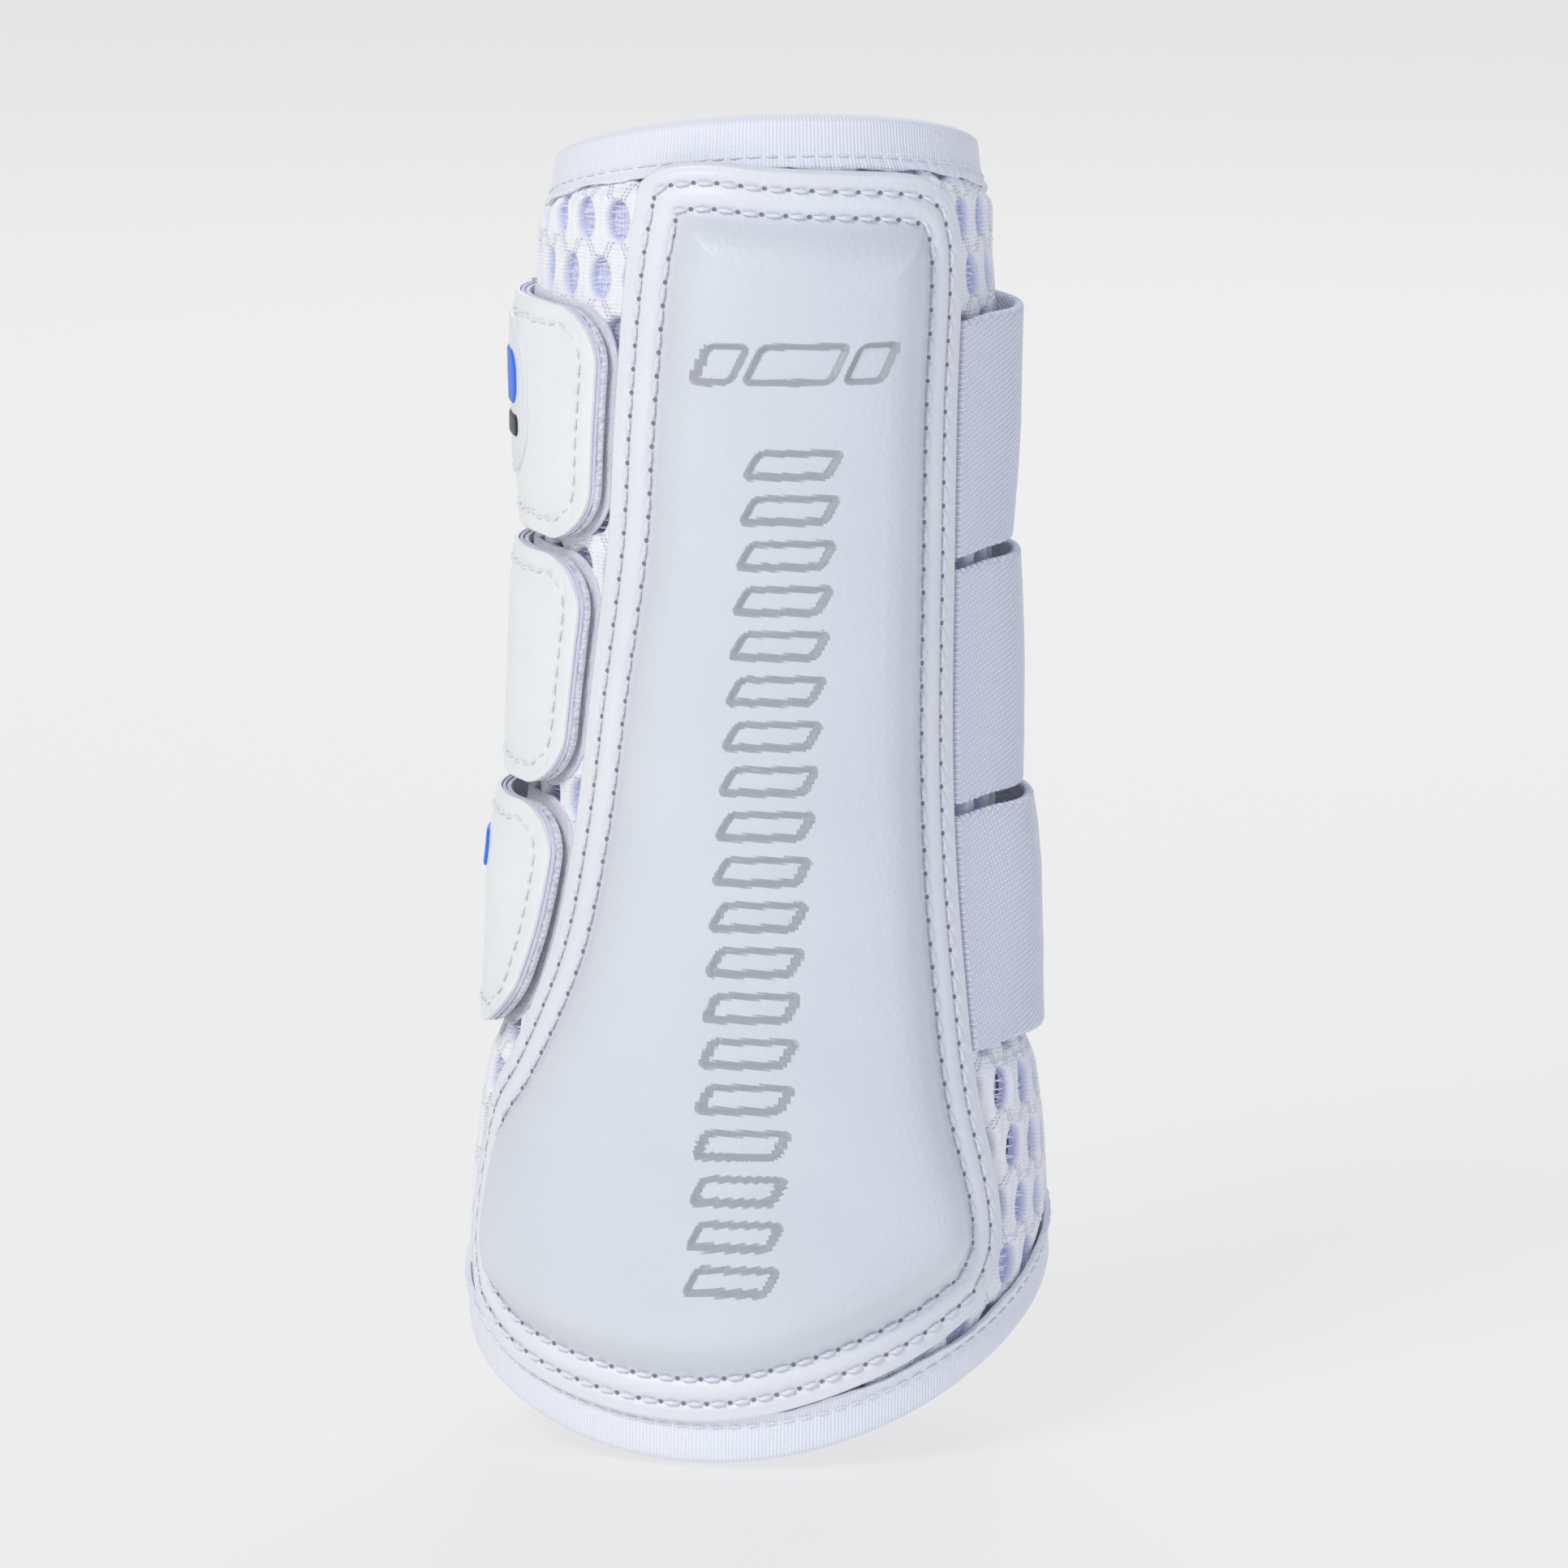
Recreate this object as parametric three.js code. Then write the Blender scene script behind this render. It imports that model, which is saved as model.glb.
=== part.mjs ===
// Tendon boot for a horse's leg: a soft wrap with a moulded strike pad, three elastic straps and closing tabs.
// Millimetres, +Z up the leg, the strike pad faces -Y.
// Angles are degrees round the leg from the pad's side, + towards +X.
import * as THREE from "three";

// The leg's tube: half width across X, narrow along the tendon and flared round the fetlock.
const tendonHalfWidth = 43.75;
const fetlockHalfWidth = 56.3;
const flareTop = 45;
const flareBottom = -100;
const flareBias = 1.5;
const depthRatio = 0.9;

// Top and bottom edges of the wrap: a mean height, and how far they rise to the front and to the right.
const topMean = 124;
const topFront = 9.5;
const topRight = 1.75;
const bottomMean = -98.9;
const bottomFront = -18.2;
const bottomRight = 6.5;
const bottomDip = -3.3;

// Wall of the wrap, from the leg outwards.
const liningThickness = 1.4;
const meshThickness = 5.3;
const edgePinch = 3.6;
const pinchReach = 7;
const layerGap = 0.32;
const looseGap = 0.7;
const seamGap = 0.4;

// Binding tape folded over every edge.
const tapeWidth = 10;
const tapeThickness = 1;

// Where the wrap opens at the back, and where the closing flap bends.
const openingAngle = 176;
const openingGap = 3.4;
const flapHingeAngle = -100;

// Strike pad.
const padBelowTop = 7.1;
const padAboveBottom = 6.8;
const padSkin = 2.1;
const padBacking = 0.9;
const padCrown = 5.2;
const padBevel = 0.16;
const padRimAcross = 13.5;
const padRimDown = 14.4;

// Straps, numbered from the top one down, and how far each climbs on the left side.
const strapWidth = 45;
const strapGap = 2.5;
const topStrapHeight = 73;
const strapRises = [2.25, 1.6, 0.6];
const elasticThickness = 2;
const elasticStandOff = 4;
const elasticLiftStart = 50;
const elasticLiftAngle = 28;
const strapHingeAngle = 140;

// Closing tabs and the touch tape.
const tabHingeAngle = -112;
const tabCorner = 11;
const tabThickness = 1;
const tabBackingThickness = 0.6;
const hookThickness = 1.2;
const hookProud = 1.3;
const loopThickness = 1.2;
const tabToPad = 2.6;

// Moulded badges on the tabs.
const badge = { angle: -87, above: 5, width: 25, tall: 31, corner: 12 };
const blueInlay = { above: 3.5, width: 16, tall: 10.5, corner: 4 };
const blackInlay = { above: -5.8, width: 16, tall: 4.2, corner: 1.5 };
const smallBadge = { angle: -96, above: 11, width: 17, tall: 7.5, corner: 3 };
const badgeThickness = 1.5;
const inlayThickness = 0.5;

// How finely curved surfaces are faceted.
const facetAngle = 9;
const facetHeight = 16;
const padFacetWidth = 9.6;
const padFacetHeight = 16.8;
const cornerPerSlice = 1.1;

const radians = THREE.MathUtils.degToRad;
const smooth = THREE.MathUtils.smoothstep;
const lerp = THREE.MathUtils.lerp;
const clamp = THREE.MathUtils.clamp;

function halfWidth(height) {
  const share = clamp((flareTop - height) / (flareTop - flareBottom), 0, 1);
  return lerp(tendonHalfWidth, fetlockHalfWidth, smooth(share ** flareBias, 0, 1));
}

// A point of the wrap: angle round the leg, height, and how far out from the mesh's outer face.
function onLeg(angle, height, out) {
  const a = halfWidth(height);
  const b = a * depthRatio;
  const s = Math.sin(radians(angle));
  const c = Math.cos(radians(angle));
  const n = Math.hypot(b * s, a * c);
  return new THREE.Vector3((a + out * b / n) * s, -(b + out * a / n) * c, height);
}

function topEdge(angle) {
  const turn = radians(angle);
  return topMean + topFront * Math.cos(turn) + topRight * Math.sin(turn);
}

function bottomEdge(angle) {
  const turn = radians(angle);
  const dip = bottomDip * Math.cos(2 * turn);
  return bottomMean + bottomFront * Math.cos(turn) + bottomRight * Math.sin(turn) + dip;
}

// Degrees round the leg that cover a length in millimetres at a height.
function degreesFor(length, height) {
  const meanRadius = halfWidth(height) * (1 + depthRatio) / 2;
  return THREE.MathUtils.radToDeg(length / meanRadius);
}

// Evenly spaced values from first to last, no further apart than step.
function stations(first, last, step) {
  const count = Math.max(1, Math.ceil(Math.abs(last - first) / step));
  return Array.from({ length: count + 1 }, (_, i) => lerp(first, last, i / count));
}

// A box grid bent into place: place(u, v, outer) gives each vertex from its two station values and its face.
function bentBlock(us, vs, place) {
  const geometry = new THREE.BoxGeometry(1, 1, 1, us.length - 1, vs.length - 1, 1);
  const position = geometry.getAttribute("position");
  for (let i = 0; i < position.count; i++) {
    const u = us[Math.round((position.getX(i) + 0.5) * (us.length - 1))];
    const v = vs[Math.round((position.getY(i) + 0.5) * (vs.length - 1))];
    const point = place(u, v, position.getZ(i) > 0);
    position.setXYZ(i, point.x, point.y, point.z);
  }
  geometry.computeVertexNormals();
  return geometry;
}

// A section in (out, up) swept round the leg from the right angle to the left one, at heights from base(angle).
function sweptRound(section, right, left, base) {
  const steps = Math.ceil((right - left) / facetAngle);
  const geometry = new THREE.ExtrudeGeometry(section, { depth: right - left, steps, bevelEnabled: false });
  const position = geometry.getAttribute("position");
  for (let i = 0; i < position.count; i++) {
    const angle = right - position.getZ(i);
    const point = onLeg(angle, base(angle) + position.getY(i), position.getX(i));
    position.setXYZ(i, point.x, point.y, point.z);
  }
  geometry.computeVertexNormals();
  return geometry;
}

// A section in (out, round) swept up the leg between two heights that follow the wrap's edges.
function sweptUp(section, angleOf, heightOf, steps) {
  const geometry = new THREE.ExtrudeGeometry(section, { depth: 1, steps, bevelEnabled: false });
  const position = geometry.getAttribute("position");
  for (let i = 0; i < position.count; i++) {
    const height = heightOf(position.getZ(i));
    const point = onLeg(angleOf(position.getY(i), height), height, position.getX(i));
    position.setXYZ(i, point.x, point.y, point.z);
  }
  geometry.computeVertexNormals();
  return geometry;
}

const finishes = {
  mesh: { color: 0xdfe2f3, roughness: 0.85, metalness: 0 },
  lining: { color: 0xe8e9f0, roughness: 0.9, metalness: 0 },
  tape: { color: 0xeff0f8, roughness: 0.8, metalness: 0 },
  padSkin: { color: 0xdfe4ec, roughness: 0.45, metalness: 0 },
  foam: { color: 0xf2f2ea, roughness: 0.95, metalness: 0 },
  elastic: { color: 0xcdd1e3, roughness: 0.8, metalness: 0 },
  tab: { color: 0xecf1f1, roughness: 0.4, metalness: 0 },
  touchTape: { color: 0xe4e3f4, roughness: 0.95, metalness: 0 },
  blueRubber: { color: 0x2f6bf0, roughness: 0.5, metalness: 0 },
  blackRubber: { color: 0x1b1c20, roughness: 0.5, metalness: 0 },
};

const boot = new THREE.Group();

function addPiece(name, finish, geometry) {
  const mesh = new THREE.Mesh(geometry, new THREE.MeshStandardMaterial(finishes[finish]));
  mesh.name = name;
  boot.add(mesh);
}

const liningOuter = -meshThickness - layerGap;
const liningInner = liningOuter - liningThickness;
const openingHalf = degreesFor(openingGap / 2 + tapeThickness + layerGap, 0);
const wrapRight = openingAngle - openingHalf;
const wrapLeft = openingAngle - 360 + openingHalf;
const hingeHalf = degreesFor(seamGap / 2, 0);
const rootLeft = flapHingeAngle + hingeHalf;
const flapRight = flapHingeAngle - hingeHalf;
const pinchFlat = tapeWidth + 1;

// One wall of the wrap: flat under the tape along its edges, full thickness from pinchReach further in.
function wrapWall(left, right, openSide, inner, outer, pinch) {
  const flat = degreesFor(pinchFlat, 0);
  const ramp = degreesFor(pinchReach, 0);
  const columns = openSide > 0
    ? [...stations(left, right - flat - ramp, facetAngle), right - flat, right]
    : [left, left + flat, ...stations(left + flat + ramp, right, facetAngle)];
  const fullRows = stations(2, 3, facetHeight / (topMean - bottomMean - 2 * (pinchFlat + pinchReach)));
  const rows = [0, 1, ...fullRows, 4, 5];
  return bentBlock(columns, rows, (angle, row, isOuter) => {
    const low = bottomEdge(angle);
    const high = topEdge(angle);
    const lowFull = low + pinchFlat + pinchReach;
    const highFull = high - pinchFlat - pinchReach;
    const height = row <= 2
      ? [low, low + pinchFlat, lowFull][row]
      : row >= 3
        ? [highFull, high - pinchFlat, high][row - 3]
        : lerp(lowFull, highFull, row - 2);
    const edge = openSide > 0 ? right - angle : angle - left;
    const isPinched = row < 2 || row > 3 || edge < flat + ramp / 2;
    return onLeg(angle, height, isOuter ? outer - (isPinched ? pinch : 0) : inner);
  });
}

addPiece("body_mesh_panel", "mesh", wrapWall(rootLeft, wrapRight, 1, -meshThickness, 0, edgePinch));
addPiece("body_lining", "lining", wrapWall(rootLeft, wrapRight, 1, liningInner, liningOuter, 0));
addPiece("flap_mesh_panel", "mesh", wrapWall(wrapLeft, flapRight, -1, -meshThickness, 0, edgePinch));
addPiece("flap_lining", "lining", wrapWall(wrapLeft, flapRight, -1, liningInner, liningOuter, 0));

const tapeOutside = -edgePinch + layerGap;
const tapeInside = liningInner - looseGap;

// The tape's folded section: out from the leg, and from the edge it covers back over the wall.
function tapeSection(towards) {
  const web = towards * layerGap;
  const fold = towards * (layerGap + tapeThickness);
  const lip = fold - towards * tapeWidth;
  const corners = [
    [tapeInside - tapeThickness, lip],
    [tapeInside, lip],
    [tapeInside, web],
    [tapeOutside, web],
    [tapeOutside, lip],
    [tapeOutside + tapeThickness, lip],
    [tapeOutside + tapeThickness, fold],
    [tapeInside - tapeThickness, fold],
  ];
  return new THREE.Shape(corners.map(([out, along]) => new THREE.Vector2(out, along)));
}

addPiece("top_binding", "tape", sweptRound(tapeSection(1), wrapRight, rootLeft, topEdge));
addPiece("bottom_binding", "tape", sweptRound(tapeSection(-1), wrapRight, rootLeft, bottomEdge));
addPiece("flap_top_binding", "tape", sweptRound(tapeSection(1), flapRight, wrapLeft, topEdge));
addPiece("flap_bottom_binding", "tape", sweptRound(tapeSection(-1), flapRight, wrapLeft, bottomEdge));

// The opening's two edges are bound between the top tape and the bottom tape.
function openingTape(edgeAngle, towards) {
  const margin = tapeWidth + seamGap;
  const low = bottomEdge(edgeAngle) + margin;
  const high = topEdge(edgeAngle) - margin;
  const height = (share) => lerp(low, high, share);
  const angle = (along, z) => edgeAngle + degreesFor(along, z);
  return sweptUp(tapeSection(towards), angle, height, 10);
}

addPiece("opening_binding", "tape", openingTape(wrapRight, 1));
addPiece("flap_opening_binding", "tape", openingTape(wrapLeft, -1));

// Outline of the strike pad in (angle, height): four runs that meet at the corners, between two heights.
const padDrawnTop = 126.4;
const padDrawnBottom = -113.6;
const padLeftRun = [[-32, 122], [-36, 105], [-39.2, 76], [-41, 53], [-46.5, 23], [-50.2, -2], [-55, -25],
  [-65, -45], [-74, -56], [-76.3, -68], [-75.5, -85], [-69.5, -98]];
const padBottomRun = [[-69.5, -98], [-54, -106.5], [-29, -112.6], [-8, -113.6], [10, -110], [31, -102.5],
  [47.5, -94]];
const padRightRun = [[51, 118.5], [55, 107], [53.5, 76], [53, 40], [52.3, 5], [52, -28], [52, -52], [55, -72],
  [54, -84], [47.5, -94]];
const padTopRun = [[-32, 122], [-26, 125.2], [-14, 126.4], [2, 125.4], [33, 124], [44.5, 122], [51, 118.5]];

// The drawn outline stretched up and down to keep its distances from the wrap's edges.
function padHeight(drawn) {
  const share = (drawn - padDrawnBottom) / (padDrawnTop - padDrawnBottom);
  return lerp(bottomEdge(0) + padAboveBottom, topEdge(0) - padBelowTop, share);
}

function runOf(points) {
  return new THREE.SplineCurve(points.map(([angle, drawn]) => new THREE.Vector2(angle, padHeight(drawn))));
}

const padLeft = runOf(padLeftRun);
const padRight = runOf(padRightRun);
const padTop = runOf(padTopRun);
const padBottom = runOf(padBottomRun);

// The pad's face as a patch between its four runs: u from left to right, v from top to bottom.
function onPad(u, v) {
  const across = padTop.getPointAt(u).multiplyScalar(1 - v).addScaledVector(padBottom.getPointAt(u), v);
  const down = padLeft.getPointAt(v).multiplyScalar(1 - u).addScaledVector(padRight.getPointAt(v), u);
  const corners = padTop.getPointAt(0).multiplyScalar((1 - u) * (1 - v))
    .addScaledVector(padTop.getPointAt(1), u * (1 - v))
    .addScaledVector(padBottom.getPointAt(0), (1 - u) * v)
    .addScaledVector(padBottom.getPointAt(1), u * v);
  return across.add(down).sub(corners);
}

// How far the moulding stands above its rim: nothing at the edge, the full crown past the bevel.
function padRise(u, v) {
  const across = Math.min(1, Math.min(u, 1 - u) / padBevel);
  const down = Math.min(1, 2 * Math.min(v, 1 - v) / padBevel);
  return padCrown * across * down;
}

// The pad's facets keep their size in millimetres when the wrap grows.
const padWide = 2 * fetlockHalfWidth;
const padTall = padHeight(padDrawnTop) - padHeight(padDrawnBottom);
const rimAcross = padRimAcross / padWide;
const rimDown = padRimDown / padTall;
const padAcross = stations(padBevel, 1 - padBevel, padFacetWidth / padWide);
const padDown = stations(padBevel, 1 - padBevel, padFacetHeight / padTall);

// All layers of the pad share their stations, so their facets lie parallel; the rim is the skin's alone.
function padLayer(hasRim, innerOf, outerOf) {
  const across = [rimAcross, ...padAcross, 1 - rimAcross];
  const down = [rimDown, padBevel / 2, ...padDown, 1 - padBevel / 2, 1 - rimDown];
  const us = hasRim ? [0, ...across, 1] : across;
  const vs = hasRim ? [0, ...down, 1] : down;
  return bentBlock(us, [...vs].reverse(), (u, v, isOuter) => {
    const place = onPad(u, v);
    return onLeg(place.x, place.y, isOuter ? outerOf(u, v) : innerOf(u, v));
  });
}

const padSeat = looseGap;
const foamSeat = padSeat + padBacking + layerGap;
addPiece("pad_backing", "lining", padLayer(false, () => padSeat, () => padSeat + padBacking));
addPiece("pad_foam", "foam", padLayer(false, () => foamSeat, (u, v) => padSeat + padRise(u, v) - layerGap));
addPiece("pad_skin", "padSkin",
  padLayer(true, (u, v) => padSeat + padRise(u, v), (u, v) => padSeat + padSkin + padRise(u, v)));

// Angle of one of the pad's side edges at a height, found by halving along its run.
const edgeTolerance = 1e-6;

function edgeAngle(run, height) {
  let above = 0;
  let below = 1;
  while (below - above > edgeTolerance) {
    const middle = (above + below) / 2;
    if (run.getPoint(middle).y > height) above = middle;
    else below = middle;
  }
  return run.getPoint(above).x;
}

const straps = strapRises.map((rise, i) => ({ height: topStrapHeight - i * (strapWidth + strapGap), rise }));

// A strap runs level round the right side and climbs a little on the left.
function strapMiddle(strap, angle) {
  return strap.height - strap.rise * Math.min(Math.sin(radians(angle)), 0);
}

const strapRows = stations(-strapWidth / 2, strapWidth / 2, 12);

// A length of elastic between two angles, which may vary with height, standing off the mesh by lift(angle).
function elastic(strap, firstOf, lastOf, lift) {
  const length = lastOf(strap.height) - firstOf(strap.height);
  return bentBlock(stations(0, 1, facetAngle / length), strapRows, (share, up, isOuter) => {
    const roughHeight = strap.height + up;
    const angle = lerp(firstOf(roughHeight), lastOf(roughHeight), share);
    return onLeg(angle, strapMiddle(strap, angle) + up, lift(angle) + (isOuter ? elasticThickness : 0));
  });
}

const hookSeat = loopThickness + 2 * layerGap;
const backingSeat = hookSeat + hookThickness + layerGap;
const tabSeat = backingSeat + tabBackingThickness + layerGap;
const badgeSeat = tabSeat + tabThickness + layerGap;
const hingeRelief = degreesFor(seamGap, 0);

// How far a corner of this radius cuts the end back at a distance from the piece's edge.
function cornerCut(radius, distance) {
  const inside = radius - Math.min(distance, radius);
  return radius - Math.sqrt(Math.max(radius * radius - inside * inside, 0));
}

const cornerRows = [0, 0.05, 0.2, 0.5, 1].map((share) => share * tabCorner);
const tabRows = [
  ...cornerRows.map((rise) => rise - strapWidth / 2),
  0,
  ...[...cornerRows].reverse().map((drop) => strapWidth / 2 - drop),
];

// The rounder the corners, the more slices keep a side layer's facets parallel to the next layer's.
const sideSlices = stations(0, 1, cornerPerSlice / tabCorner);

// A layer on the left side, from firstAngle to the end that keeps a clearance from the pad's left edge.
function sideLayer(strap, firstAngle, clearance, inner, thickness) {
  return bentBlock(sideSlices, tabRows, (share, up, isOuter) => {
    const height = strap.height + up;
    const cut = cornerCut(tabCorner, strapWidth / 2 - Math.abs(up));
    const last = edgeAngle(padLeft, height) - degreesFor(cut + clearance, height);
    const angle = lerp(firstAngle, last, share);
    return onLeg(angle, strapMiddle(strap, angle) + up, isOuter ? inner + thickness : inner);
  });
}

// A moulded badge: a rounded plate centred at an angle and height round the leg, from its seat outwards.
function badgePlate(angle, height, shape, inner, thickness) {
  const rows = [0, 0.1, 0.4, 1].map((share) => share * shape.corner);
  const top = shape.tall / 2;
  const ups = [...rows.map((rise) => rise - top), ...[...rows].reverse().map((drop) => top - drop)];
  return bentBlock(stations(-1, 1, 0.5), ups, (side, up, isOuter) => {
    const half = shape.width / 2 - cornerCut(shape.corner, top - Math.abs(up));
    return onLeg(angle + side * degreesFor(half, height), height + up, isOuter ? inner + thickness : inner);
  });
}

straps.forEach((strap, index) => {
  const number = index + 1;
  const start = (height) => edgeAngle(padRight, height) + degreesFor(seamGap, height);
  const liftEnd = elasticLiftStart + elasticLiftAngle;
  const lift = (angle) => lerp(looseGap, elasticStandOff, smooth(angle, elasticLiftStart, liftEnd));
  const tabStart = tabHingeAngle + hingeRelief / 2;
  const anchorEnd = strapHingeAngle - hingeRelief / 2;
  const freeStart = strapHingeAngle + hingeRelief / 2;
  const freeEnd = tabStart + 360 - hingeRelief;
  addPiece(`strap_${number}_anchor`, "elastic", elastic(strap, start, () => anchorEnd, lift));
  addPiece(`strap_${number}_elastic`, "elastic",
    elastic(strap, () => freeStart, () => freeEnd, () => elasticStandOff));
  addPiece(`tab_${number}`, "tab", sideLayer(strap, tabStart, tabToPad, tabSeat, tabThickness));
  addPiece(`tab_${number}_backing`, "touchTape",
    sideLayer(strap, tabStart, tabToPad, backingSeat, tabBackingThickness));
  addPiece(`tab_${number}_hook_tape`, "touchTape",
    sideLayer(strap, tabStart, tabToPad - hookProud, hookSeat, hookThickness));
  addPiece(`loop_patch_${number}`, "touchTape",
    sideLayer(strap, rootLeft + hingeRelief, looseGap, layerGap, loopThickness));
});

const inlaySeat = badgeSeat + badgeThickness + layerGap;
const badgeHeight = straps[0].height + badge.above;
addPiece("badge_plate", "tab", badgePlate(badge.angle, badgeHeight, badge, badgeSeat, badgeThickness));
addPiece("badge_blue_inlay", "blueRubber",
  badgePlate(badge.angle, badgeHeight + blueInlay.above, blueInlay, inlaySeat, inlayThickness));
addPiece("badge_black_inlay", "blackRubber",
  badgePlate(badge.angle, badgeHeight + blackInlay.above, blackInlay, inlaySeat, inlayThickness));
addPiece("tab_3_badge", "blueRubber",
  badgePlate(smallBadge.angle, straps[2].height + smallBadge.above, smallBadge, badgeSeat, badgeThickness));

export default boot;
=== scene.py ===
import bpy
import numpy as np
from mathutils import Euler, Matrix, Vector


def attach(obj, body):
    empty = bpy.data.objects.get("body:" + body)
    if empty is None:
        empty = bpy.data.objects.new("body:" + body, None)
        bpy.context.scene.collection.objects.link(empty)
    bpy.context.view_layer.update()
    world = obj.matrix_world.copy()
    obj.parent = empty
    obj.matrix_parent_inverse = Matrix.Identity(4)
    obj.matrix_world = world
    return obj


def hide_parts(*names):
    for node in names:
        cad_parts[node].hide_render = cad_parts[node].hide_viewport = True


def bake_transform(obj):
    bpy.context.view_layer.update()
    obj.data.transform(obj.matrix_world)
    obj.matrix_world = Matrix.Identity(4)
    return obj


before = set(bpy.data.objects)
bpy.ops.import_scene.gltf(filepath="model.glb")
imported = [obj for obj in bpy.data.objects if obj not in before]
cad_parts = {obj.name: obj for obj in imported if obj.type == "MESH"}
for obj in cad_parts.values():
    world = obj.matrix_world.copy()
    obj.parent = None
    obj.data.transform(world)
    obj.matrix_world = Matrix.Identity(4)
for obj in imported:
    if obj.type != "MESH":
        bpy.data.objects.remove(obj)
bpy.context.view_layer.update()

# ---- Lining ----
# A soft knitted jersey against the leg, laminated to the back of the spacer mesh before the panel is cut.
# It follows the leg: narrow along the tendon, flared round the fetlock and flatter from front to back.
TENDON_HALF_WIDTH, FETLOCK_HALF_WIDTH, DEPTH_RATIO = 43.75, 56.3, 0.9
FLARE_TOP, FLARE_BOTTOM = 45.0, -100.0
WRAP_RIGHT, WRAP_LEFT, PAD_SEAM = 171.9, -179.9, -34.0
LINING_OUTER, LINING_THICKNESS = -5.62, 1.4


def ease(share):
    """Smooth step: nothing below 0, all above 1, and a slow start and end between."""
    share = np.clip(share, 0, 1)
    return share * share * (3 - 2 * share)


def half_width(height):
    """Half the leg's width: the tendon's, eased out to the fetlock's over the flare."""
    share = np.clip((FLARE_TOP - height) / (FLARE_TOP - FLARE_BOTTOM), 0, 1)
    return TENDON_HALF_WIDTH + (FETLOCK_HALF_WIDTH - TENDON_HALF_WIDTH) * ease(share ** 1.5)


def on_leg(angle, height, out):
    """Point in metres of an ellipse round the leg, moved out along its normal; degrees from the pad."""
    angle, height, out = np.broadcast_arrays(np.radians(angle), height, out)
    a = half_width(height)
    b = DEPTH_RATIO * a
    s, c = np.sin(angle), np.cos(angle)
    n = np.hypot(b * s, a * c)
    return np.stack([(a + out * b / n) * s, -(b + out * a / n) * c, height + 0 * s], axis=-1) / 1000


def mean_radius(height):
    """Radius of the circle that is about as long round as the leg."""
    return half_width(height) * (1 + DEPTH_RATIO) / 2


def degrees_for(length, height):
    """Angle that a length round the leg covers."""
    return np.degrees(length / mean_radius(height))


def top_edge(angle):
    turn = np.radians(angle)
    return 124.0 + 9.5 * np.cos(turn) + 1.75 * np.sin(turn)


def bottom_edge(angle):
    turn = np.radians(angle)
    return -98.9 - 18.2 * np.cos(turn) + 6.5 * np.sin(turn) - 3.3 * np.cos(2 * turn)


def rim_flare(angle, height):
    """How far the wall turns out at its bottom rim: fully within 8 mm of it, fading out 30 mm up."""
    return 2.7 * ease((30 - height + bottom_edge(angle)) / 22)


def closed_sheet(outer, inner):
    """Two grids of points, heights by angles, joined along their borders into one closed skin of quads."""
    rows, columns = outer.shape[:2]
    front = np.arange(rows * columns).reshape(rows, columns)
    back = front + rows * columns
    quads = [
        [front[:-1, :-1], front[:-1, 1:], front[1:, 1:], front[1:, :-1]],
        [back[:-1, 1:], back[:-1, :-1], back[1:, :-1], back[1:, 1:]],
        [back[0, :-1], back[0, 1:], front[0, 1:], front[0, :-1]],
        [front[-1, :-1], front[-1, 1:], back[-1, 1:], back[-1, :-1]],
        [back[:-1, 0], front[:-1, 0], front[1:, 0], back[1:, 0]],
        [front[:-1, -1], back[:-1, -1], back[1:, -1], front[1:, -1]],
    ]
    faces = np.concatenate([np.stack([corner.ravel() for corner in quad], axis=1) for quad in quads])
    return np.concatenate([outer.reshape(-1, 3), inner.reshape(-1, 3)]), faces


def ring_faces(vertex, following):
    """Quads between neighbouring rings: following holds the same ring's points, one step round."""
    quads = [vertex[:, :-1], following[:, :-1], following[:, 1:], vertex[:, 1:]]
    return np.stack(quads, axis=-1).reshape(-1, 4)


def make_piece(name, points, faces, material, **maps):
    """A smooth mesh object from points in metres and faces of one size; maps become vector attributes."""
    mesh = bpy.data.meshes.new(name)
    mesh.vertices.add(len(points))
    mesh.vertices.foreach_set("co", np.ascontiguousarray(points, np.float32).ravel())
    mesh.loops.add(faces.size)
    mesh.loops.foreach_set("vertex_index", np.ascontiguousarray(faces, np.int32).ravel())
    mesh.polygons.add(len(faces))
    mesh.polygons.foreach_set("loop_start", np.arange(0, faces.size, faces.shape[1], dtype=np.int32))
    mesh.update(calc_edges=True)
    mesh.shade_smooth()
    mesh.set_sharp_from_angle(angle=np.radians(55))
    for title, values in maps.items():
        layer = mesh.attributes.new(title, "FLOAT_VECTOR", "POINT")
        layer.data.foreach_set("vector", np.ascontiguousarray(values, np.float32).ravel())
    mesh.materials.append(material)
    piece = bpy.data.objects.new(name, mesh)
    bpy.context.scene.collection.objects.link(piece)
    return piece


def cloth_map(angle, height, out):
    """Cloth coordinates in metres: round the leg, up it, and out from it."""
    angle, height, out = np.broadcast_arrays(angle, height, out)
    round_leg = np.radians(angle) * mean_radius(height)
    return np.stack([round_leg, height, out], axis=-1).reshape(-1, 3) / 1000


def cloth_piece(name, angle, height, outer, inner, material):
    """A closed piece between two faces that follow the leg, with the outer one's cloth map on both."""
    points, faces = closed_sheet(on_leg(angle, height, outer), on_leg(angle, height, inner))
    maps = cloth_map(angle, height, outer)
    return make_piece(name, points, faces, material, cloth=np.concatenate([maps, maps]))


def linear(hex_colour):
    """An sRGB hex colour as the linear colour that a shader takes."""
    channels = np.array([int(hex_colour[i:i + 2], 16) for i in (1, 3, 5)]) / 255
    low = channels / 12.92
    high = ((channels + 0.055) / 1.055) ** 2.4
    return (*np.where(channels <= 0.04045, low, high), 1.0)


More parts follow.
